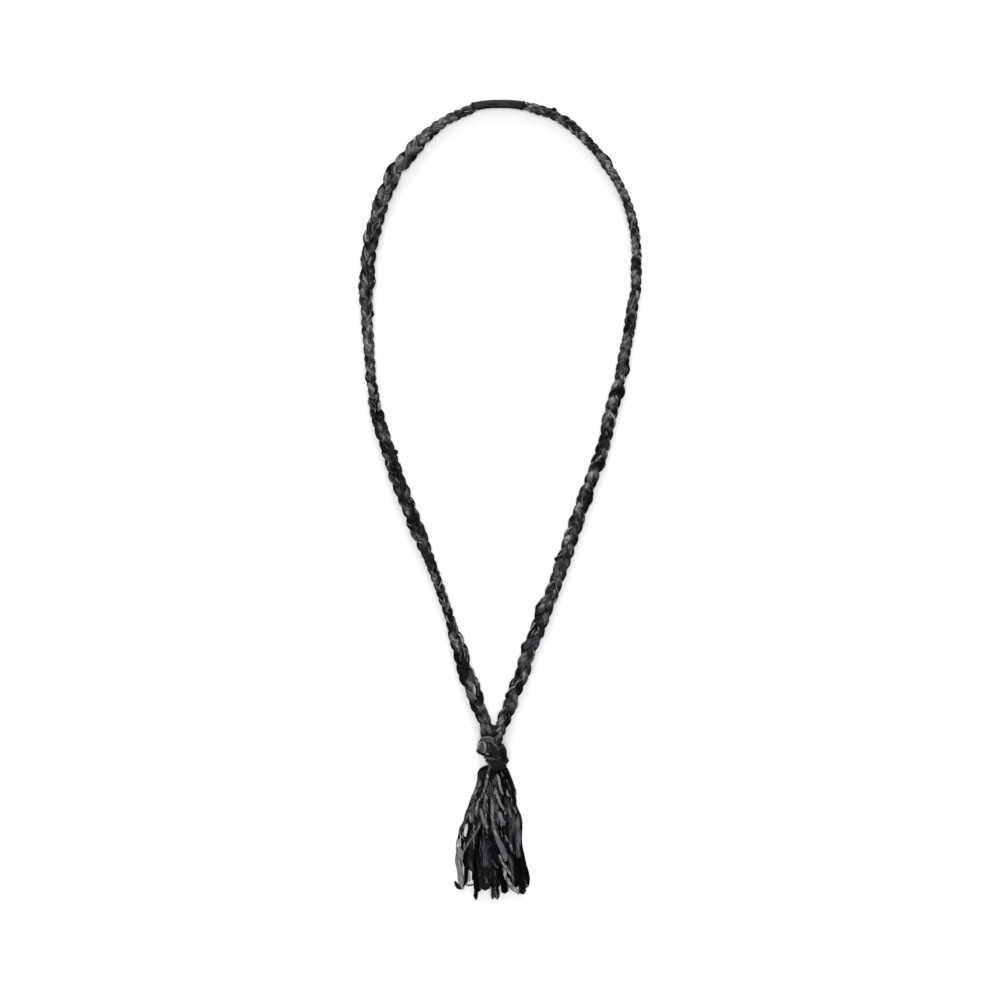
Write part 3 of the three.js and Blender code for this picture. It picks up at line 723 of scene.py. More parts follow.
wrap_route = [*reversed(LEFT_ROUTE[1:4]), *RIGHT_ROUTE[:4]]
wrap_line = smooth_line(wrap_route, WRAP_STEP)
wrap_reach = distances(wrap_line)
wrap_middle = wrap_reach[np.argmin(np.abs(wrap_line[:, 0]))]
wrap_line = wrap_line[np.abs(wrap_reach - wrap_middle) <= WRAP_HALF_LENGTH]
wrap_place = np.linspace(-1, 1, len(wrap_line))
wrap_line = np.column_stack([wrap_line, np.full(len(wrap_line), WRAP_THICKNESS / 2)])
wrap_line[:, 0] += WRAP_SHIFT
wrap_line[:, 1] += WRAP_LIFT
wrap_flare = 1 + WRAP_FLARE * np.abs(wrap_place) ** 3
wrap_side = unit(np.cross(unit(np.gradient(wrap_line, axis=0)), UP))
wrap_facing = np.broadcast_to(UP, wrap_line.shape)
rng = np.random.default_rng(WRAP_SEED)
bm = new_cloth()
lay_strip(bm, wrap_line, wrap_facing, WRAP_CORE * WRAP_WIDTH * wrap_flare,
          WRAP_CORE * WRAP_THICKNESS, DYES["soot"], sides=24, blunt=0.2)
for fold in range(WRAP_FOLDS):
    angle = 2 * math.pi * (fold + WRAP_FOLD_START) / WRAP_FOLDS
    angle = angle + drift(rng, wrap_place, *WRAP_FOLD_SWAY)
    across, up = np.cos(angle), np.sin(angle)
    offset = wrap_side * (WRAP_FOLD_OUT * WRAP_WIDTH * wrap_flare * across)[:, None]
    line = wrap_line + offset + UP * (WRAP_FOLD_OUT * WRAP_THICKNESS * up)[:, None]
    outward = unit(wrap_side * across[:, None] + UP * up[:, None])
    wide = WRAP_WIDTH * (WRAP_FOLD_WIDTH + drift(rng, wrap_place, *WRAP_FOLD_UNEVEN))
    # Painted shade: the folds on the inner edge, the side away from the low lamp, take black and the rest
    # take charcoal.
    dye = "black" if across.mean() > WRAP_PAINTED_SHADE_SIDE else "charcoal"
    tone = np.array(DYES[dye]) * WRAP_TONE
    shade = (1 + drift(rng, wrap_place, *WRAP_FOLD_SHADE))[:, None]
    lay_strip(bm, line, outward, wide, WRAP_FOLD_DEPTH * WRAP_WIDTH, tone * shade, sides=14,
              blunt=0.3)
for end in (-1, 1):
    middle = np.argmin(np.abs(wrap_place - end * (1 - BINDING_INSET / WRAP_HALF_LENGTH)))
    angle = np.linspace(0, BINDING_TURNS * 2 * math.pi, BINDING_STEPS)[:, None]
    along = np.cross(UP, wrap_side[middle])
    half = 0.5 * WRAP_WIDTH * wrap_flare[middle]
    out = wrap_side[middle] * np.cos(angle) * half
    out = out + UP * np.sin(angle) * BINDING_HEIGHT * WRAP_THICKNESS
    turns = wrap_line[middle] + out + along * angle * BINDING_RADIUS / math.pi
    lay_strip(bm, turns, unit(out), BINDING_RADIUS, BINDING_RADIUS, DYES["soot"], sides=6)
sleeve_cloth = cloth_finish("sleeve_cloth", streak_wide=0.0012, streak_long=0.012, streak=1.35,
                            rough=0.4, gloss=0.03)
back_sleeve = finish_cloth(bm, "back_sleeve", sleeve_cloth)
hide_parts("back_wrap")

# ---------------------------------------------------------------- the knot
# The two plaits are tied together in one fat overhand knot. Their strands cross in loose folds
# that roll over each other, pale on the left, nearly black on the right, and pull in to a waist.
# Each fold's dye carries painted shade: it is darker near its ends, where it goes in under the others.
KNOT_CORE = [(-0.0040, -0.1400, 0.0040), (-0.0042, -0.1440, 0.0048), (-0.0034, -0.1500, 0.0052),
             (-0.0022, -0.1570, 0.0046), (-0.0015, -0.1625, 0.0042)]
KNOT_SEED = 58
KNOT_STEP = 0.0006
KNOT_REACH = 0.0050
KNOT_FIBRES = 50
# Painted shade at each fold's ends, where it goes in under the others: the reach over which its dye
# darkens, and the share it comes down to.
FOLD_PAINTED_SHADE_REACH = 0.0022
FOLD_END_PAINTED_SHADE = 0.35
FOLD_UPWARD = 0.002
FOLD_TWIST = 60
FOLD_RUNS = (0.004, 0.014)
CORE_HALF_WIDTH = 0.0044
CORE_HALF_THICKNESS = 0.0036

Fold = namedtuple("Fold", "name route half_width half_thick plies mix")
KNOT_FOLDS = [Fold(*row) for row in (
    # The crotch fold is a real fold, dyed soot and black as painted shadow between the left plait's end
    # and the upper band.
    ("crotch fold", [(-0.0108, -0.1406, 0.0034), (-0.009, -0.1409, 0.0062), (-0.0064, -0.1408, 0.0075),
     (-0.0042, -0.14, 0.0078), (-0.0026, -0.139, 0.0072), (-0.0014, -0.138, 0.0046)], 0.0011, 0.0014, 4,
     {"soot": 0.6, "black": 0.4}),
    ("crotch", [(-0.0036, -0.1353, 0.0014), (-0.0036, -0.1368, 0.0036), (-0.0035, -0.1386, 0.0056),
     (-0.003, -0.1412, 0.0056)], 0.0016, 0.0014, 4, {"charcoal": 0.5, "soot": 0.5}),
    ("left shoulder", [(-0.0102, -0.1336, 0.004), (-0.0101, -0.1354, 0.0062), (-0.01, -0.1378, 0.0066),
     (-0.0102, -0.1402, 0.005)], 0.0011, 0.0012, 3, {"iron": 0.7, "grey": 0.3}),
    ("left plait's last strand", [(-0.0082, -0.134, 0.006), (-0.0076, -0.1356, 0.0072),
     (-0.0064, -0.1376, 0.0072), (-0.0054, -0.1398, 0.0054)], 0.0012, 0.0011, 3,
     {"iron": 0.5, "charcoal": 0.3, "grey": 0.2}),
    ("upper band", [(-0.003, -0.1437, 0.0062), (-0.0046, -0.1428, 0.0088), (-0.0068, -0.1424, 0.0096),
     (-0.0092, -0.1427, 0.0086), (-0.0108, -0.1434, 0.0056), (-0.0108, -0.1446, 0.0022)], 0.0016, 0.0013,
     5, {"iron": 0.75, "grey": 0.25}),
    ("under band", [(-0.0106, -0.1446, 0.0046), (-0.0086, -0.1446, 0.0078), (-0.0062, -0.1445, 0.0088),
     (-0.0042, -0.1456, 0.008)], 0.001, 0.0012, 3, {"soot": 0.7, "charcoal": 0.3}),
    ("band end", [(-0.006, -0.1424, 0.008), (-0.0047, -0.1438, 0.0101), (-0.0034, -0.1454, 0.0111),
     (-0.002, -0.147, 0.0112), (-0.0006, -0.1486, 0.01), (0.0006, -0.1498, 0.0074)], 0.0006, 0.0005, 3,
     {"grey": 0.4, "iron": 0.6}),
    ("left loop", [(-0.0094, -0.1446, 0.0046), (-0.0098, -0.1456, 0.008), (-0.01, -0.147, 0.0092),
     (-0.0101, -0.1486, 0.0078), (-0.01, -0.1496, 0.0046)], 0.0024, 0.002, 6, {"grey": 0.5, "iron": 0.5}),
    ("left loop, back", [(-0.011, -0.1444, 0.0034), (-0.0118, -0.146, 0.0052), (-0.0119, -0.1478, 0.0052),
     (-0.0116, -0.1496, 0.0034)], 0.0013, 0.0016, 4, {"iron": 0.8, "grey": 0.2}),
    ("left corner", [(-0.013, -0.1494, 0.003), (-0.0116, -0.1503, 0.0056), (-0.0086, -0.1512, 0.0078),
     (-0.005, -0.1516, 0.0082), (-0.0018, -0.1508, 0.0078)], 0.0015, 0.0017, 5,
     {"soot": 0.5, "charcoal": 0.5}),
    ("corner light", [(-0.0088, -0.1504, 0.008), (-0.008, -0.1508, 0.01), (-0.007, -0.1512, 0.01),
     (-0.006, -0.1511, 0.0078)], 0.0005, 0.0004, 3, {"grey": 0.7, "iron": 0.3}),
    ("inner fold", [(-0.0068, -0.144, 0.007), (-0.0066, -0.1458, 0.0092), (-0.0062, -0.148, 0.0098),
     (-0.0058, -0.1502, 0.009), (-0.0054, -0.1524, 0.0066)], 0.0017, 0.0015, 4,
     {"charcoal": 0.6, "soot": 0.4}),
    ("right fold, inner", [(-0.0034, -0.1446, 0.0068), (-0.003, -0.1474, 0.01), (-0.0026, -0.151, 0.0108),
     (-0.0024, -0.155, 0.0092), (-0.0018, -0.158, 0.0056)], 0.0027, 0.0021, 6,
     {"black": 0.2, "soot": 0.4, "dusk": 0.3, "charcoal": 0.1}),
    ("right fold, outer", [(0.0, -0.1466, 0.0052), (0.0012, -0.1486, 0.009), (0.0017, -0.1514, 0.0096),
     (0.0018, -0.1548, 0.0084), (0.001, -0.1582, 0.005)], 0.0025, 0.0024, 6,
     {"black": 0.3, "soot": 0.4, "dusk": 0.3}),
    ("thin strip", [(-0.0066, -0.1532, 0.0014), (-0.0092, -0.1532, 0.0038), (-0.0086, -0.1536, 0.0074),
     (-0.0066, -0.154, 0.01), (-0.004, -0.154, 0.0115), (-0.0012, -0.1536, 0.0114),
     (0.0014, -0.153, 0.0088)], 0.0006, 0.0005, 3, {"grey": 0.6, "iron": 0.4}),
    ("lower band", [(-0.0076, -0.1552, 0.004), (-0.005, -0.1562, 0.0082), (-0.001, -0.1566, 0.0102),
     (0.0022, -0.156, 0.0086), (0.0042, -0.1554, 0.0042)], 0.0017, 0.0015, 5, {"soot": 0.4, "dusk": 0.6}),
    ("lower band, back", [(-0.0062, -0.1578, 0.003), (-0.0034, -0.1588, 0.0078), (0.0002, -0.159, 0.0082),
     (0.003, -0.1582, 0.004)], 0.0016, 0.0015, 5, {"soot": 0.4, "dusk": 0.6}),
    ("neck strand", [(-0.0056, -0.1562, 0.0078), (-0.0061, -0.1584, 0.0088), (-0.0067, -0.1608, 0.0078),
     (-0.0074, -0.1636, 0.0068)], 0.0006, 0.0005, 3, {"grey": 0.5, "iron": 0.5}),
    ("neck strand, inner", [(-0.0028, -0.1544, 0.008), (-0.0032, -0.1564, 0.0099),
     (-0.0036, -0.1586, 0.0094), (-0.0041, -0.1614, 0.0076)], 0.0008, 0.0005, 3,
     {"iron": 0.4, "dusk": 0.6}),
)]
rng = np.random.default_rng(KNOT_SEED)
core_line = smooth_line(KNOT_CORE, KNOT_STEP)
core_facing = np.broadcast_to(UP, core_line.shape)
lay_strip(knot_mesh, core_line, core_facing, CORE_HALF_WIDTH, CORE_HALF_THICKNESS, DYES["black"],
          sides=16)
for fold in KNOT_FOLDS:
    centre = smooth_line(fold.route, KNOT_STEP)
    reach = distances(centre)
    apart = np.linalg.norm(centre[:, None] - core_line[None], axis=2)
    facing = unit(centre - core_line[np.argmin(apart, axis=1)] + UP * FOLD_UPWARD)

    def dye_of(spots, outward, wound):
        # Painted shade: the dye darkens towards the fold's ends, where it goes in under the others.
        shown = ease(np.minimum(reach, reach[-1] - reach) / FOLD_PAINTED_SHADE_REACH)
        shade = FOLD_END_PAINTED_SHADE + (1 - FOLD_END_PAINTED_SHADE) * shown
        return dye_runs(rng, fold.mix, reach, *FOLD_RUNS) * shade[:, None]

    lay_plies(knot_mesh, rng, centre, facing, fold.half_width, fold.half_thick, fold.plies,
              FOLD_TWIST, dye_of)
lay_fibres(knot_mesh, rng, core_line, KNOT_REACH, KNOT_FIBRES)
knot_folds = finish_cloth(knot_mesh, "knot_folds")
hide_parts("knot")

# ---------------------------------------------------------------- the tassel
# Below the knot the ends of the strips hang on as a ragged tassel: broad black ribbons, twisted
# grey yarns and a few lacy threads, each one the loose end of a ply of the plaits.
TASSEL_SEED = 65
WAIST = -0.1595
TASSEL_STEP = 0.0014
YARN_STEP = 0.0008
TASSEL_DIVE = 0.0038
TABLE_GAP = 0.0008
DOME_EDGE = 0.22
DOME_ROUNDNESS = 1.2
EDGE_LIMIT = 0.98
EDGE_TURN = 0.8
HEM_MARGIN = 0.004
LONGEST_DIVE = 0.45
# The height, width and tone a strand's end comes down to where it dives under the others;
# the tone is painted shade.
DIVE_HEIGHT = 0.5
DIVE_WIDTH = 0.5
DIVE_PAINTED_SHADE = 0.25
# Painted shade at the waist, where the crowded strips shade each other: the under strands and loose yarns
# are darkened to this share there, easing back to their own tone over the reach below.
TOP_PAINTED_SHADE = 0.55
TOP_PAINTED_SHADE_REACH = 0.035
STRAND_SHADE = (0.62, 1.12)
STRAND_MOTTLE = (0.005, 0.4)
WIDTH_DRIFT = (0.008, 0.1)
# The room left free for the pale strip at the left edge.
PALE_EDGE = 0.0044
PALE_START = 0.0380
PALE_EASE = 0.008

# The edges of the tassel and its thickness at a drop below the waist.
Spread = namedtuple("Spread", "drop left right thick")
TASSEL_SPREAD = [Spread(*row) for row in (
    (-0.001, -0.007, 0.0038, 0.0084), (0.004, -0.0133, 0.0056, 0.0094), (0.0073, -0.0134, 0.0071, 0.0098),
    (0.0112, -0.0144, 0.0088, 0.01), (0.0157, -0.0163, 0.0098, 0.01), (0.0185, -0.0173, 0.0094, 0.0098),
    (0.0225, -0.0188, 0.0105, 0.0095), (0.027, -0.0207, 0.0111, 0.009), (0.032, -0.0219, 0.0135, 0.0085),
    (0.041, -0.0248, 0.0137, 0.0077), (0.046, -0.027, 0.0135, 0.0071), (0.0524, -0.0271, 0.0147, 0.0066),
    (0.0576, -0.027, 0.0158, 0.0061), (0.0628, -0.0263, 0.0171, 0.0055), (0.068, -0.0254, 0.0183, 0.0049),
    (0.072, -0.0262, 0.0178, 0.0045), (0.08, -0.025, 0.0165, 0.004),
)]
# Where the cut ends come to, from left to right.
Hem = namedtuple("Hem", "x drop")
TASSEL_HEM = [Hem(*row) for row in (
    (-0.027, 0.0715), (-0.0165, 0.07), (-0.013, 0.0745), (-0.006, 0.0735), (0.004, 0.0745),
    (0.01, 0.0735), (0.015, 0.075), (0.0183, 0.07),
)]
# Slits where the strips part and the table shows.
SLIT_STEEPNESS = 3
Slit = namedtuple("Slit", "x drop wide long lean")
TASSEL_SLITS = [Slit(-0.0205, 0.0384, 0.0012, 0.0056, -0.20),
                Slit(-0.0182, 0.0740, 0.0010, 0.0140, -0.12)]

# The strips that show, from the top down: how each is made, its width at its upper and lower
# end, its layer from 0 at the table to 1 on top (more where it lies proud of a thin edge), the
# dyes its plies take by turns, and its way as (x, drop).
Strand = namedtuple("Strand", "kind w_top w_low layer dyes way")
TASSEL_STRANDS = [Strand(*row) for row in (
    ("bundle", 0.0024, 0.0026, 0.35, "black iron", [(-0.0058, -0.001), (-0.012, 0.0035),
     (-0.0123, 0.0073), (-0.0133, 0.0115), (-0.0148, 0.0157), (-0.0162, 0.0203), (-0.0184, 0.0255),
     (-0.0202, 0.03), (-0.0213, 0.0352), (-0.0233, 0.0405), (-0.025, 0.045)]),
    ("bundle", 0.0024, 0.002, 0.7, "black charcoal", [(-0.006, 0.0), (-0.0095, 0.004), (-0.0105, 0.01),
     (-0.0125, 0.017), (-0.015, 0.0235), (-0.0175, 0.029)]),
    ("ribbon", 0.0014, 0.0018, 0.88, "iron", [(-0.0098, 0.0018), (-0.0104, 0.005), (-0.0105, 0.0095)]),
    ("yarn", 0.0016, 0.0016, 1.35, "grey iron", [(-0.0112, 0.007), (-0.012, 0.0104), (-0.0134, 0.0128),
     (-0.0147, 0.0154), (-0.0157, 0.0186), (-0.0172, 0.0228)]),
    ("yarn", 0.0015, 0.0015, 0.96, "pale grey", [(-0.0066, 0.002), (-0.0074, 0.005), (-0.0073, 0.0086)]),
    ("ribbon", 0.0017, 0.0018, 0.93, "grey", [(-0.0076, 0.0052), (-0.0081, 0.0088), (-0.0087, 0.0124),
     (-0.0092, 0.016)]),
    ("yarn", 0.0014, 0.0014, 0.95, "grey iron", [(-0.0088, 0.0108), (-0.0096, 0.014), (-0.0099, 0.0165),
     (-0.0108, 0.0182), (-0.0116, 0.0206)]),
    ("yarn", 0.0014, 0.0014, 0.93, "grey pale", [(-0.0106, 0.0145), (-0.0107, 0.0175),
     (-0.0113, 0.0202)]),
    ("bundle", 0.0018, 0.0018, 0.9, "black", [(-0.0058, 0.004), (-0.0057, 0.008), (-0.0062, 0.0112)]),
    ("ribbon", 0.002, 0.003, 0.88, "plum", [(-0.005, 0.007), (-0.0056, 0.012), (-0.0062, 0.016),
     (-0.006, 0.021)]),
    ("yarn", 0.0025, 0.0018, 0.95, "mauve grey", [(-0.008, 0.014), (-0.0084, 0.018), (-0.0089, 0.0208),
     (-0.0094, 0.0236), (-0.0086, 0.026), (-0.0074, 0.0292)]),
    ("bundle", 0.0014, 0.0014, 0.9, "black", [(-0.0107, 0.0185), (-0.0107, 0.0225), (-0.0113, 0.0252)]),
    ("yarn", 0.0013, 0.0013, 0.95, "mauve iron", [(-0.005, 0.0164), (-0.0048, 0.02), (-0.0049, 0.024)]),
    ("bundle", 0.0016, 0.0014, 0.9, "black", [(-0.0063, 0.0168), (-0.0065, 0.0215), (-0.0071, 0.0258)]),
    ("ribbon", 0.002, 0.0022, 0.92, "iron", [(-0.0042, 0.005), (-0.0037, 0.0085), (-0.0031, 0.0122)]),
    ("yarn", 0.0017, 0.0014, 0.97, "pale grey", [(-0.0031, 0.0094), (-0.0027, 0.013), (-0.0021, 0.0155),
     (-0.0013, 0.018), (-0.0005, 0.0205), (0.0005, 0.0225), (0.0018, 0.0245), (0.0031, 0.0282)]),
    ("yarn", 0.0017, 0.0014, 0.99, "pale", [(-0.0019, 0.0022), (-0.0014, 0.0052), (-0.0006, 0.008),
     (-0.0002, 0.0105), (0.0004, 0.0128), (0.0013, 0.015), (0.0022, 0.0184)]),
    ("yarn", 0.0014, 0.0013, 0.92, "mauve iron", [(0.0001, 0.001), (0.0008, 0.0036), (0.0016, 0.0056),
     (0.0024, 0.008)]),
    ("yarn", 0.0021, 0.0016, 0.92, "pale grey", [(-0.012, 0.017), (-0.0128, 0.021), (-0.0136, 0.0232),
     (-0.0142, 0.0258), (-0.0143, 0.0286), (-0.0149, 0.0312)]),
    ("ribbon", 0.003, 0.0036, 0.9, "umber", [(-0.0156, 0.0205), (-0.0164, 0.025), (-0.0168, 0.0305),
     (-0.0166, 0.036)]),
    ("ribbon", 0.0016, 0.002, 0.86, "iron", [(-0.0119, 0.023), (-0.0125, 0.0265), (-0.0129, 0.0305)]),
    ("yarn", 0.0019, 0.0019, 0.97, "mauve grey", [(-0.0113, 0.0232), (-0.0109, 0.0275), (-0.0103, 0.03),
     (-0.0092, 0.0327), (-0.0082, 0.0358), (-0.0078, 0.039)]),
    ("yarn", 0.0016, 0.0015, 0.97, "grey pale", [(-0.0091, 0.0325), (-0.0084, 0.035), (-0.0081, 0.0384)]),
    ("yarn", 0.0014, 0.0014, 1.05, "grey", [(-0.0186, 0.0258), (-0.018, 0.029), (-0.0175, 0.0318),
     (-0.0172, 0.0356)]),
    ("yarn", 0.0013, 0.0014, 0.97, "grey iron", [(-0.0111, 0.0315), (-0.012, 0.034), (-0.0128, 0.0362),
     (-0.0138, 0.0382), (-0.015, 0.0402), (-0.0168, 0.0428), (-0.0187, 0.0454), (-0.0206, 0.0488),
     (-0.0222, 0.0515), (-0.0236, 0.055)]),
    ("bundle", 0.0018, 0.002, 0.88, "black", [(-0.0063, 0.0248), (-0.0062, 0.029), (-0.0058, 0.034),
     (-0.0056, 0.041)]),
    ("yarn", 0.002, 0.002, 0.97, "grey pale", [(-0.004, 0.0184), (-0.0043, 0.0235), (-0.0046, 0.0265),
     (-0.0045, 0.0295), (-0.0043, 0.0318), (-0.004, 0.0345), (-0.0034, 0.0372), (-0.0026, 0.04),
     (-0.0014, 0.044)]),
    ("yarn", 0.0012, 0.0012, 0.95, "grey pale", [(-0.0018, 0.0212), (-0.0015, 0.0265)]),
    ("ribbon", 0.0032, 0.0026, 0.93, "mist", [(-0.0011, 0.0245), (-0.0001, 0.0282), (0.0006, 0.0305),
     (0.0013, 0.0322), (0.0026, 0.0342), (0.0038, 0.0368)]),
    ("yarn", 0.0012, 0.0012, 0.93, "iron grey", [(0.0021, 0.024), (0.0028, 0.0272), (0.0034, 0.0306)]),
    ("ribbon", 0.0026, 0.0034, 0.86, "black", [(-0.0018, 0.0318), (-0.0004, 0.036), (0.001, 0.0395),
     (0.0022, 0.0445)]),
    ("ribbon", 0.004, 0.0062, 0.74, "soot", [(0.0022, -0.001), (0.0045, 0.006), (0.0062, 0.0115),
     (0.0074, 0.018), (0.0084, 0.025)]),
    ("yarn", 0.0014, 0.0012, 0.98, "pale", [(0.0037, 0.012), (0.0042, 0.0155), (0.0054, 0.0172),
     (0.0066, 0.0196)]),
    ("yarn", 0.0014, 0.0014, 0.96, "iron grey", [(0.005, 0.017), (0.0048, 0.0196), (0.0054, 0.0232)]),
    ("yarn", 0.0016, 0.0016, 0.94, "iron", [(0.0064, 0.0182), (0.007, 0.0268)]),
    ("yarn", 0.0013, 0.0013, 0.97, "grey pale", [(0.0044, 0.0225), (0.0053, 0.0262), (0.0062, 0.0284),
     (0.0067, 0.0325)]),
    ("yarn", 0.0015, 0.0014, 0.85, "iron charcoal", [(0.0069, 0.01), (0.0075, 0.015)]),
    ("yarn", 0.0013, 0.0014, 0.75, "iron grey", [(0.0084, 0.012), (0.0091, 0.015), (0.0086, 0.0196)]),
    ("ribbon", 0.0036, 0.003, 0.88, "iron", [(0.0077, 0.0262), (0.0082, 0.031), (0.0084, 0.036),
     (0.0083, 0.0435)]),
    ("ribbon", 0.0034, 0.0046, 1.0, "slate", [(0.0098, 0.029), (0.0108, 0.0345), (0.0113, 0.042),
     (0.0115, 0.049), (0.0118, 0.0565)]),
    ("ribbon", 0.0022, 0.0026, 0.91, "iron", [(0.0059, 0.0305), (0.0062, 0.036), (0.0063, 0.04),
     (0.0067, 0.045), (0.007, 0.049)]),
    ("ribbon", 0.0024, 0.0042, 0.96, "mist", [(-0.003, 0.0375), (-0.0014, 0.0432), (0.0003, 0.0469),
     (0.002, 0.0503), (0.0036, 0.054), (0.005, 0.0585)]),
    ("yarn", 0.0014, 0.0018, 0.98, "grey pale", [(-0.0007, 0.051), (0.0008, 0.0562), (0.0029, 0.0593),
     (0.0047, 0.0621), (0.0068, 0.0652), (0.0088, 0.0695)]),
    ("yarn", 0.0012, 0.0013, 0.98, "grey soot", [(0.0012, 0.038), (0.0041, 0.0435), (0.0061, 0.0469),
     (0.0075, 0.0504), (0.0096, 0.0552)]),
    ("ribbon", 0.0026, 0.0034, 0.9, "iron", [(0.0042, 0.05), (0.0058, 0.057), (0.007, 0.0625),
     (0.0088, 0.069)]),
    ("ribbon", 0.005, 0.0066, 0.84, "black", [(0.0084, 0.047), (0.0104, 0.055), (0.0125, 0.063),
     (0.0146, 0.0715)]),
    ("ribbon", 0.003, 0.0042, 0.7, "soot", [(0.0116, 0.048), (0.0134, 0.056), (0.015, 0.064),
     (0.0162, 0.0705)]),
    ("yarn", 0.0012, 0.0015, 0.97, "grey iron", [(0.0106, 0.0615), (0.0137, 0.0669), (0.0154, 0.0693),
     (0.0168, 0.0728)]),
    ("ribbon", 0.004, 0.0048, 0.88, "soot", [(0.0092, 0.057), (0.0116, 0.066), (0.013, 0.071),
     (0.0141, 0.0772)]),
    ("thread", 0.0008, 0.0008, 0.95, "iron", [(0.0112, 0.0495), (0.0131, 0.0545), (0.0144, 0.0585)]),
    ("lace", 0.0032, 0.005, 0.95, "pale", [(-0.0222, 0.038), (-0.0236, 0.0415), (-0.0245, 0.0455),
     (-0.0246, 0.0505), (-0.0244, 0.057)]),
    ("bundle", 0.0014, 0.0014, 1.02, "black", [(-0.0226, 0.0425), (-0.0224, 0.046), (-0.0228, 0.0505)]),
    ("bundle", 0.005, 0.0028, 0.85, "pale", [(-0.0245, 0.0485), (-0.0244, 0.054), (-0.0242, 0.0593),
     (-0.024, 0.0645), (-0.0234, 0.0696), (-0.0229, 0.0745)]),
    ("thread", 0.0011, 0.0012, 0.3, "pale", [(-0.0192, 0.061), (-0.0187, 0.065), (-0.0181, 0.07)]),
    ("bundle", 0.0016, 0.002, 0.72, "black", [(-0.0212, 0.04), (-0.0226, 0.044), (-0.0225, 0.048),
     (-0.0222, 0.0515), (-0.0214, 0.057)]),
    ("bundle", 0.0018, 0.002, 0.7, "black soot", [(-0.016, 0.026), (-0.0176, 0.033), (-0.018, 0.038),
     (-0.0196, 0.043), (-0.021, 0.048)]),
    ("ribbon", 0.003, 0.0024, 0.66, "black", [(-0.0176, 0.04), (-0.0196, 0.05), (-0.0203, 0.058),
     (-0.0206, 0.064), (-0.0206, 0.0708)]),
    ("ribbon", 0.004, 0.0046, 0.82, "black", [(-0.0118, 0.033), (-0.0138, 0.043), (-0.0144, 0.054),
     (-0.0143, 0.065), (-0.0133, 0.0757)]),
    ("ribbon", 0.0044, 0.0064, 0.86, "soot", [(-0.0078, 0.033), (-0.0092, 0.044), (-0.0096, 0.056),
     (-0.0093, 0.066), (-0.0088, 0.0745)]),
    # This plum ribbon, and the plum and dusk yarn just to its left, are a painted sheen: lighter plum
    # streaks on the black ribbons where light glances off them.
    ("ribbon", 0.0028, 0.0044, 0.93, "plum", [(-0.0094, 0.039), (-0.0096, 0.047), (-0.009, 0.056),
     (-0.0084, 0.063)]),
    ("yarn", 0.0011, 0.0012, 0.95, "plum dusk", [(-0.0108, 0.04), (-0.0116, 0.048), (-0.011, 0.056),
     (-0.0106, 0.064)]),
    ("yarn", 0.0012, 0.0014, 0.92, "dusk plum", [(-0.0062, 0.041), (-0.0066, 0.05), (-0.0062, 0.06),
     (-0.0058, 0.069)]),
    ("yarn", 0.0012, 0.0014, 0.9, "charcoal dusk", [(-0.014, 0.05), (-0.0132, 0.058), (-0.0124, 0.066),
     (-0.0118, 0.073)]),
    ("yarn", 0.0016, 0.0018, 0.93, "grey iron", [(-0.0088, 0.064), (-0.0079, 0.07)]),
    ("bundle", 0.002, 0.0026, 0.5, "black", [(-0.0134, 0.069), (-0.0145, 0.076), (-0.0148, 0.0808)]),
    ("ribbon", 0.004, 0.0056, 0.8, "ink", [(-0.0036, 0.033), (-0.0038, 0.043), (-0.0034, 0.053),
     (-0.003, 0.063), (-0.0032, 0.0735)]),
    ("yarn", 0.001, 0.0011, 0.92, "iron grey", [(-0.0062, 0.053), (-0.0042, 0.0566), (-0.0025, 0.0593),
     (-0.0004, 0.0614), (0.0018, 0.0626)]),
    ("thread", 0.0008, 0.0008, 0.92, "iron", [(-0.0032, 0.061), (-0.0028, 0.068)]),
    ("bundle", 0.0036, 0.004, 0.6, "iron black", [(-0.0036, 0.066), (-0.0031, 0.074), (-0.0027, 0.08)]),
    ("yarn", 0.0016, 0.0016, 0.75, "black grey", [(-0.0042, 0.069), (-0.0018, 0.074), (-0.0006, 0.0772)]),
    ("thread", 0.0007, 0.0006, 0.5, "grey", [(-0.0038, 0.072), (-0.004, 0.077), (-0.0049, 0.0803)]),
    ("thread", 0.0007, 0.0006, 0.5, "iron", [(-0.0026, 0.072), (-0.002, 0.077), (-0.0011, 0.0806)]),
    ("ribbon", 0.004, 0.0048, 0.85, "black", [(0.0002, 0.056), (0.0016, 0.066), (0.0026, 0.072),
     (0.003, 0.0765)]),
    ("yarn", 0.002, 0.002, 0.97, "pale grey", [(0.0018, 0.0575), (0.0026, 0.063), (0.0035, 0.0662),
     (0.0053, 0.069), (0.0066, 0.0718), (0.0082, 0.0738), (0.0104, 0.0752), (0.0118, 0.0764)]),
    ("bundle", 0.003, 0.0024, 0.66, "black soot", [(-0.0272, 0.069), (-0.0262, 0.0714),
     (-0.0244, 0.0734), (-0.0218, 0.0746)]),
    ("bundle", 0.0026, 0.0022, 0.4, "black soot", [(-0.0262, 0.073), (-0.024, 0.0728), (-0.0222, 0.0712),
     (-0.0212, 0.069)]),
    ("thread", 0.0009, 0.0009, 0.4, "soot", [(-0.0216, 0.0708), (-0.0186, 0.0717), (-0.0154, 0.0708)]),
)]

# The strips under those, which fill the tassel from edge to edge, and the loose yarns among them.
WAY_STEP = 0.006
WAY_TURN = 0.02
UNDER_STRANDS = 46
UNDER_START = -0.001
UNDER_WIDTH = (0.0019, 0.0028)
UNDER_TOP = 0.7
UNDER_LAYER = (0.1, 0.8)
UNDER_HEM = (-0.0222, 0.0180)
UNDER_RAGGED = 0.005
UNDER_WANDER = 0.07
UNDER_MIX = {"black": 0.34, "soot": 0.16, "charcoal": 0.24, "iron": 0.26}
LOOSE_YARNS = 40
LOOSE_START = (0.001, 0.036)
LOOSE_LENGTH = (0.010, 0.024)
LOOSE_WIDTH = (0.0007, 0.0012)
LOOSE_LAYER = (0.86, 0.97)
LOOSE_WANDER = 0.05
LOOSE_MIX = {"iron": 0.4, "grey": 0.35, "charcoal": 0.25}

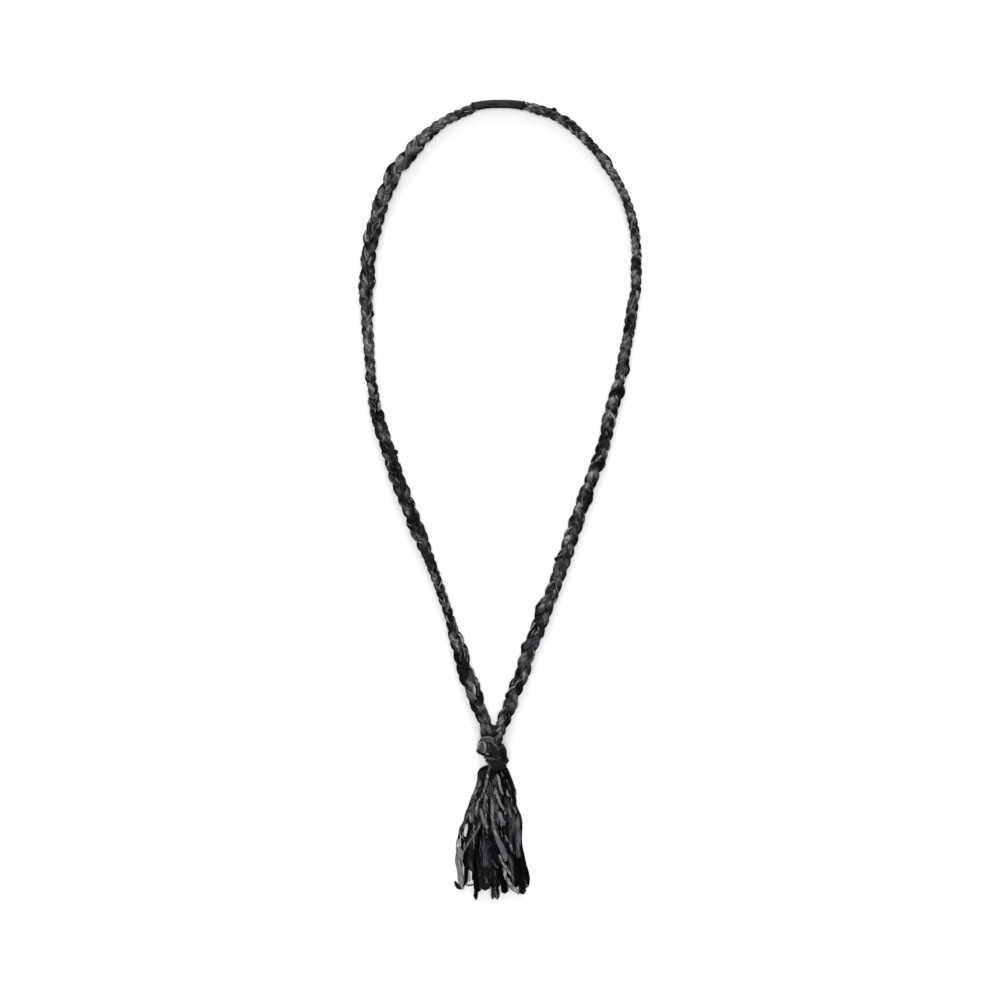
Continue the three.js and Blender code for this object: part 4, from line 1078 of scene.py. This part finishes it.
# How each kind of strand is made.
RIBBON_HALF_THICKNESS = 0.0004
RIBBON_CURL = -0.3
PLEATS = (2, 5)
PLEAT_START = (0, 6)
PLEAT_DEPTH = 0.00035
PLEAT_WANDER = (0.012, 2.5)
BUNDLE_PLIES = 4
BUNDLE_TWIST = (60, 240)
BUNDLE_DEPTH = 0.4
BUNDLE_DEEPEST = 0.0011
YARN_PLIES = 3
YARN_PITCH = 0.0065
YARN_DEPTH = 0.42
LACE_THREADS = 5
LACE_SWING = 0.6
LACE_TURN = 0.0042
LACE_RELIEF = 0.0005
LACE_HALF_WIDTH = 0.00032
LACE_HALF_THICKNESS = 0.00030
# The hairs along its edges and its hem.
RIM_DROPS = (0.002, 0.070)
RIM_STEPS = 24
RIM_HEIGHT = 0.0018
RIM_INSET = 0.0016
EDGE_FIBRES = 45
HEM_REACH = 0.0004
HEM_FIBRES = 90
tassel_cloth = cloth_finish("tassel_cloth", streak_wide=0.0007, streak_long=0.0050, streak=1.9,
                            rough=0.9, gloss=0.015)


def edge_of(column, drop):
    return read_rows(TASSEL_SPREAD, "drop", column, drop)


def hang(strand):
    """The centre line of a strand in the tassel's rounded form. It parts at the slits, which only
    threads cross, and its ends dive under the others unless they reach the hem."""
    flat = smooth_line(strand.way, YARN_STEP if strand.kind in ("yarn", "lace") else TASSEL_STEP)
    x, drop = flat.T
    half = (strand.w_top + strand.w_low) / 4
    slits = [] if strand.kind == "thread" else TASSEL_SLITS
    for slit in slits:
        room = np.clip(1 - ((drop - slit.drop) / slit.long) ** 2, 0, 1)
        side = 1 if np.interp(slit.drop, drop, x) > slit.x else -1
        middle = slit.x + slit.lean * (drop - slit.drop)
        short = np.maximum(0, room * slit.wide + half - side * (x - middle))
        x = x + side * short * np.minimum(SLIT_STEEPNESS * room, 1)
    left, right, thick = (edge_of(column, drop) for column in ("left", "right", "thick"))
    across = np.clip((2 * x - left - right) / (right - left), -EDGE_LIMIT, EDGE_LIMIT)
    dome = thick * (DOME_EDGE + (1 - DOME_EDGE) * (1 - across ** 2) ** DOME_ROUNDNESS)
    reach = distances(flat)
    hem = np.interp(x[-1], *zip(*TASSEL_HEM)) - HEM_MARGIN
    dive = min(TASSEL_DIVE, LONGEST_DIVE * reach[-1])
    shown = ease(reach / dive)
    if drop[-1] < hem:
        shown = shown * ease((reach[-1] - reach) / dive)
    sunk = DIVE_HEIGHT + (1 - DIVE_HEIGHT) * shown
    z = TABLE_GAP + strand.layer * sunk * (dome - 2 * TABLE_GAP)
    return np.column_stack([x, WAIST - drop, z]), across, shown


def lay_strand(bm, strand, rng, painted_top_shade=1):
    """One strand of the tassel, made the way its kind is. Its dye carries painted shade: darker
    where it dives under the others, and darker by the top share at the waist, where the crowded
    strips shade each other."""
    line, across, shown = hang(strand)
    reach = distances(line)
    facing = unit(np.column_stack([EDGE_TURN * across, np.zeros(len(line)), np.ones(len(line))]))
    wide = np.linspace(strand.w_top, strand.w_low, len(line)) * (1 + drift(rng, reach, *WIDTH_DRIFT))
    wide = wide * (DIVE_WIDTH + (1 - DIVE_WIDTH) * shown)
    dyes = itertools.cycle(strand.dyes.split())

    def dye_of(spots, outward, wound):
        # Painted shade: darker at the waist, where the crowded strips shade each other, and darker where
        # the strand dives under the others.
        waist_painted_shade = painted_top_shade + (1 - painted_top_shade) * ease((WAIST - line[:, 1]) / TOP_PAINTED_SHADE_REACH)
        shade = rng.uniform(*STRAND_SHADE) * (1 + drift(rng, reach, *STRAND_MOTTLE))
        shade = shade * waist_painted_shade * (DIVE_PAINTED_SHADE + (1 - DIVE_PAINTED_SHADE) * shown)
        return np.array(DYES[next(dyes)]) * shade[:, None]

    if strand.kind == "ribbon":
        lay_strip(bm, line, facing, wide / 2, RIBBON_HALF_THICKNESS, dye_of(line, facing, False),
                  sides=20, curl=RIBBON_CURL, blunt=0.5, pleats=rng.integers(*PLEATS),
                  pleat_depth=PLEAT_DEPTH,
                  pleat_turn=rng.uniform(*PLEAT_START) + drift(rng, reach, *PLEAT_WANDER))
    elif strand.kind == "yarn":
        twist = rng.choice([-1, 1]) * 2 * math.pi / YARN_PITCH
        lay_plies(bm, rng, line, facing, wide / 2, YARN_DEPTH * wide, YARN_PLIES, twist, dye_of,
                  yarns=0)
    elif strand.kind == "bundle":
        twist = rng.choice([-1, 1]) * rng.uniform(*BUNDLE_TWIST)
        half_thick = np.minimum(BUNDLE_DEPTH * wide, BUNDLE_DEEPEST)
        lay_plies(bm, rng, line, facing, wide / 2, half_thick, BUNDLE_PLIES, twist, dye_of,
                  yarns=1, ragged=2)
    elif strand.kind == "lace":
        side = unit(np.cross(unit(np.gradient(line, axis=0)), facing))
        for thread in range(LACE_THREADS):
            swing = LACE_SWING * wide * drift(rng, reach, LACE_TURN)
            spots = line + side * swing[:, None] + facing * rng.uniform(-LACE_RELIEF, LACE_RELIEF)
            lay_strip(bm, spots, facing, LACE_HALF_WIDTH, LACE_HALF_THICKNESS,
                      dye_of(line, facing, False), sides=6)
    else:
        lay_strip(bm, line, facing, wide / 2, wide / 2, dye_of(line, facing, False), sides=6)


def way_down(rng, share, start, end, half_width, wander):
    """A way down the tassel at about one share of its breadth, from one drop to another. It
    leaves the left edge free for the pale strip there."""
    drop = np.linspace(start, end, max(3, round((end - start) / WAY_STEP)))
    shares = np.clip(share + drift(rng, drop, WAY_TURN, wander), 0, 1)
    left = edge_of("left", drop) + half_width + PALE_EDGE * ease((drop - PALE_START) / PALE_EASE)
    right = edge_of("right", drop) - half_width
    return list(zip(left + (right - left) * shares, drop))


rng = np.random.default_rng(TASSEL_SEED)
bm = new_cloth()
for number in range(UNDER_STRANDS):
    share = (number + 0.5) / UNDER_STRANDS
    wide = rng.uniform(*UNDER_WIDTH)
    low_x = np.interp(share, [0, 1], UNDER_HEM)
    end = np.interp(low_x, *zip(*TASSEL_HEM)) - rng.uniform(0, UNDER_RAGGED)
    way = way_down(rng, share, UNDER_START, end, wide / 2, UNDER_WANDER)
    layer = rng.uniform(*UNDER_LAYER)
    dyes = f"{pick(rng, UNDER_MIX)} {pick(rng, UNDER_MIX)}"
    under = Strand("bundle", UNDER_TOP * wide, wide, layer, dyes, way)
    lay_strand(bm, under, rng, painted_top_shade=TOP_PAINTED_SHADE)
tassel_ground = finish_cloth(bm, "tassel_understrips", tassel_cloth)
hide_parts("tassel")

bm = new_cloth()
for strand in TASSEL_STRANDS:
    lay_strand(bm, strand, rng)
for number in range(LOOSE_YARNS):
    share = (number + 0.5) / LOOSE_YARNS
    start = rng.uniform(*LOOSE_START)
    end = start + rng.uniform(*LOOSE_LENGTH)
    wide = rng.uniform(*LOOSE_WIDTH)
    way = way_down(rng, share, start, end, wide / 2, LOOSE_WANDER)
    layer = rng.uniform(*LOOSE_LAYER)
    loose = Strand("yarn", wide, wide, layer, f"{pick(rng, LOOSE_MIX)} soot", way)
    lay_strand(bm, loose, rng, painted_top_shade=TOP_PAINTED_SHADE)
rim_drops = np.linspace(*RIM_DROPS, RIM_STEPS)
for edge in ("left", "right"):
    x = edge_of(edge, rim_drops)
    x = x - math.copysign(RIM_INSET, x[0])
    rim = np.column_stack([x, WAIST - rim_drops, np.full(len(x), RIM_HEIGHT)])
    lay_fibres(bm, rng, rim, 0, EDGE_FIBRES)
hem_line = np.array([(hem.x, WAIST - hem.drop, RIM_HEIGHT) for hem in TASSEL_HEM])
lay_fibres(bm, rng, hem_line, HEM_REACH, HEM_FIBRES)
tassel_strips = finish_cloth(bm, "tassel_strips", tassel_cloth)
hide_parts("tassel")
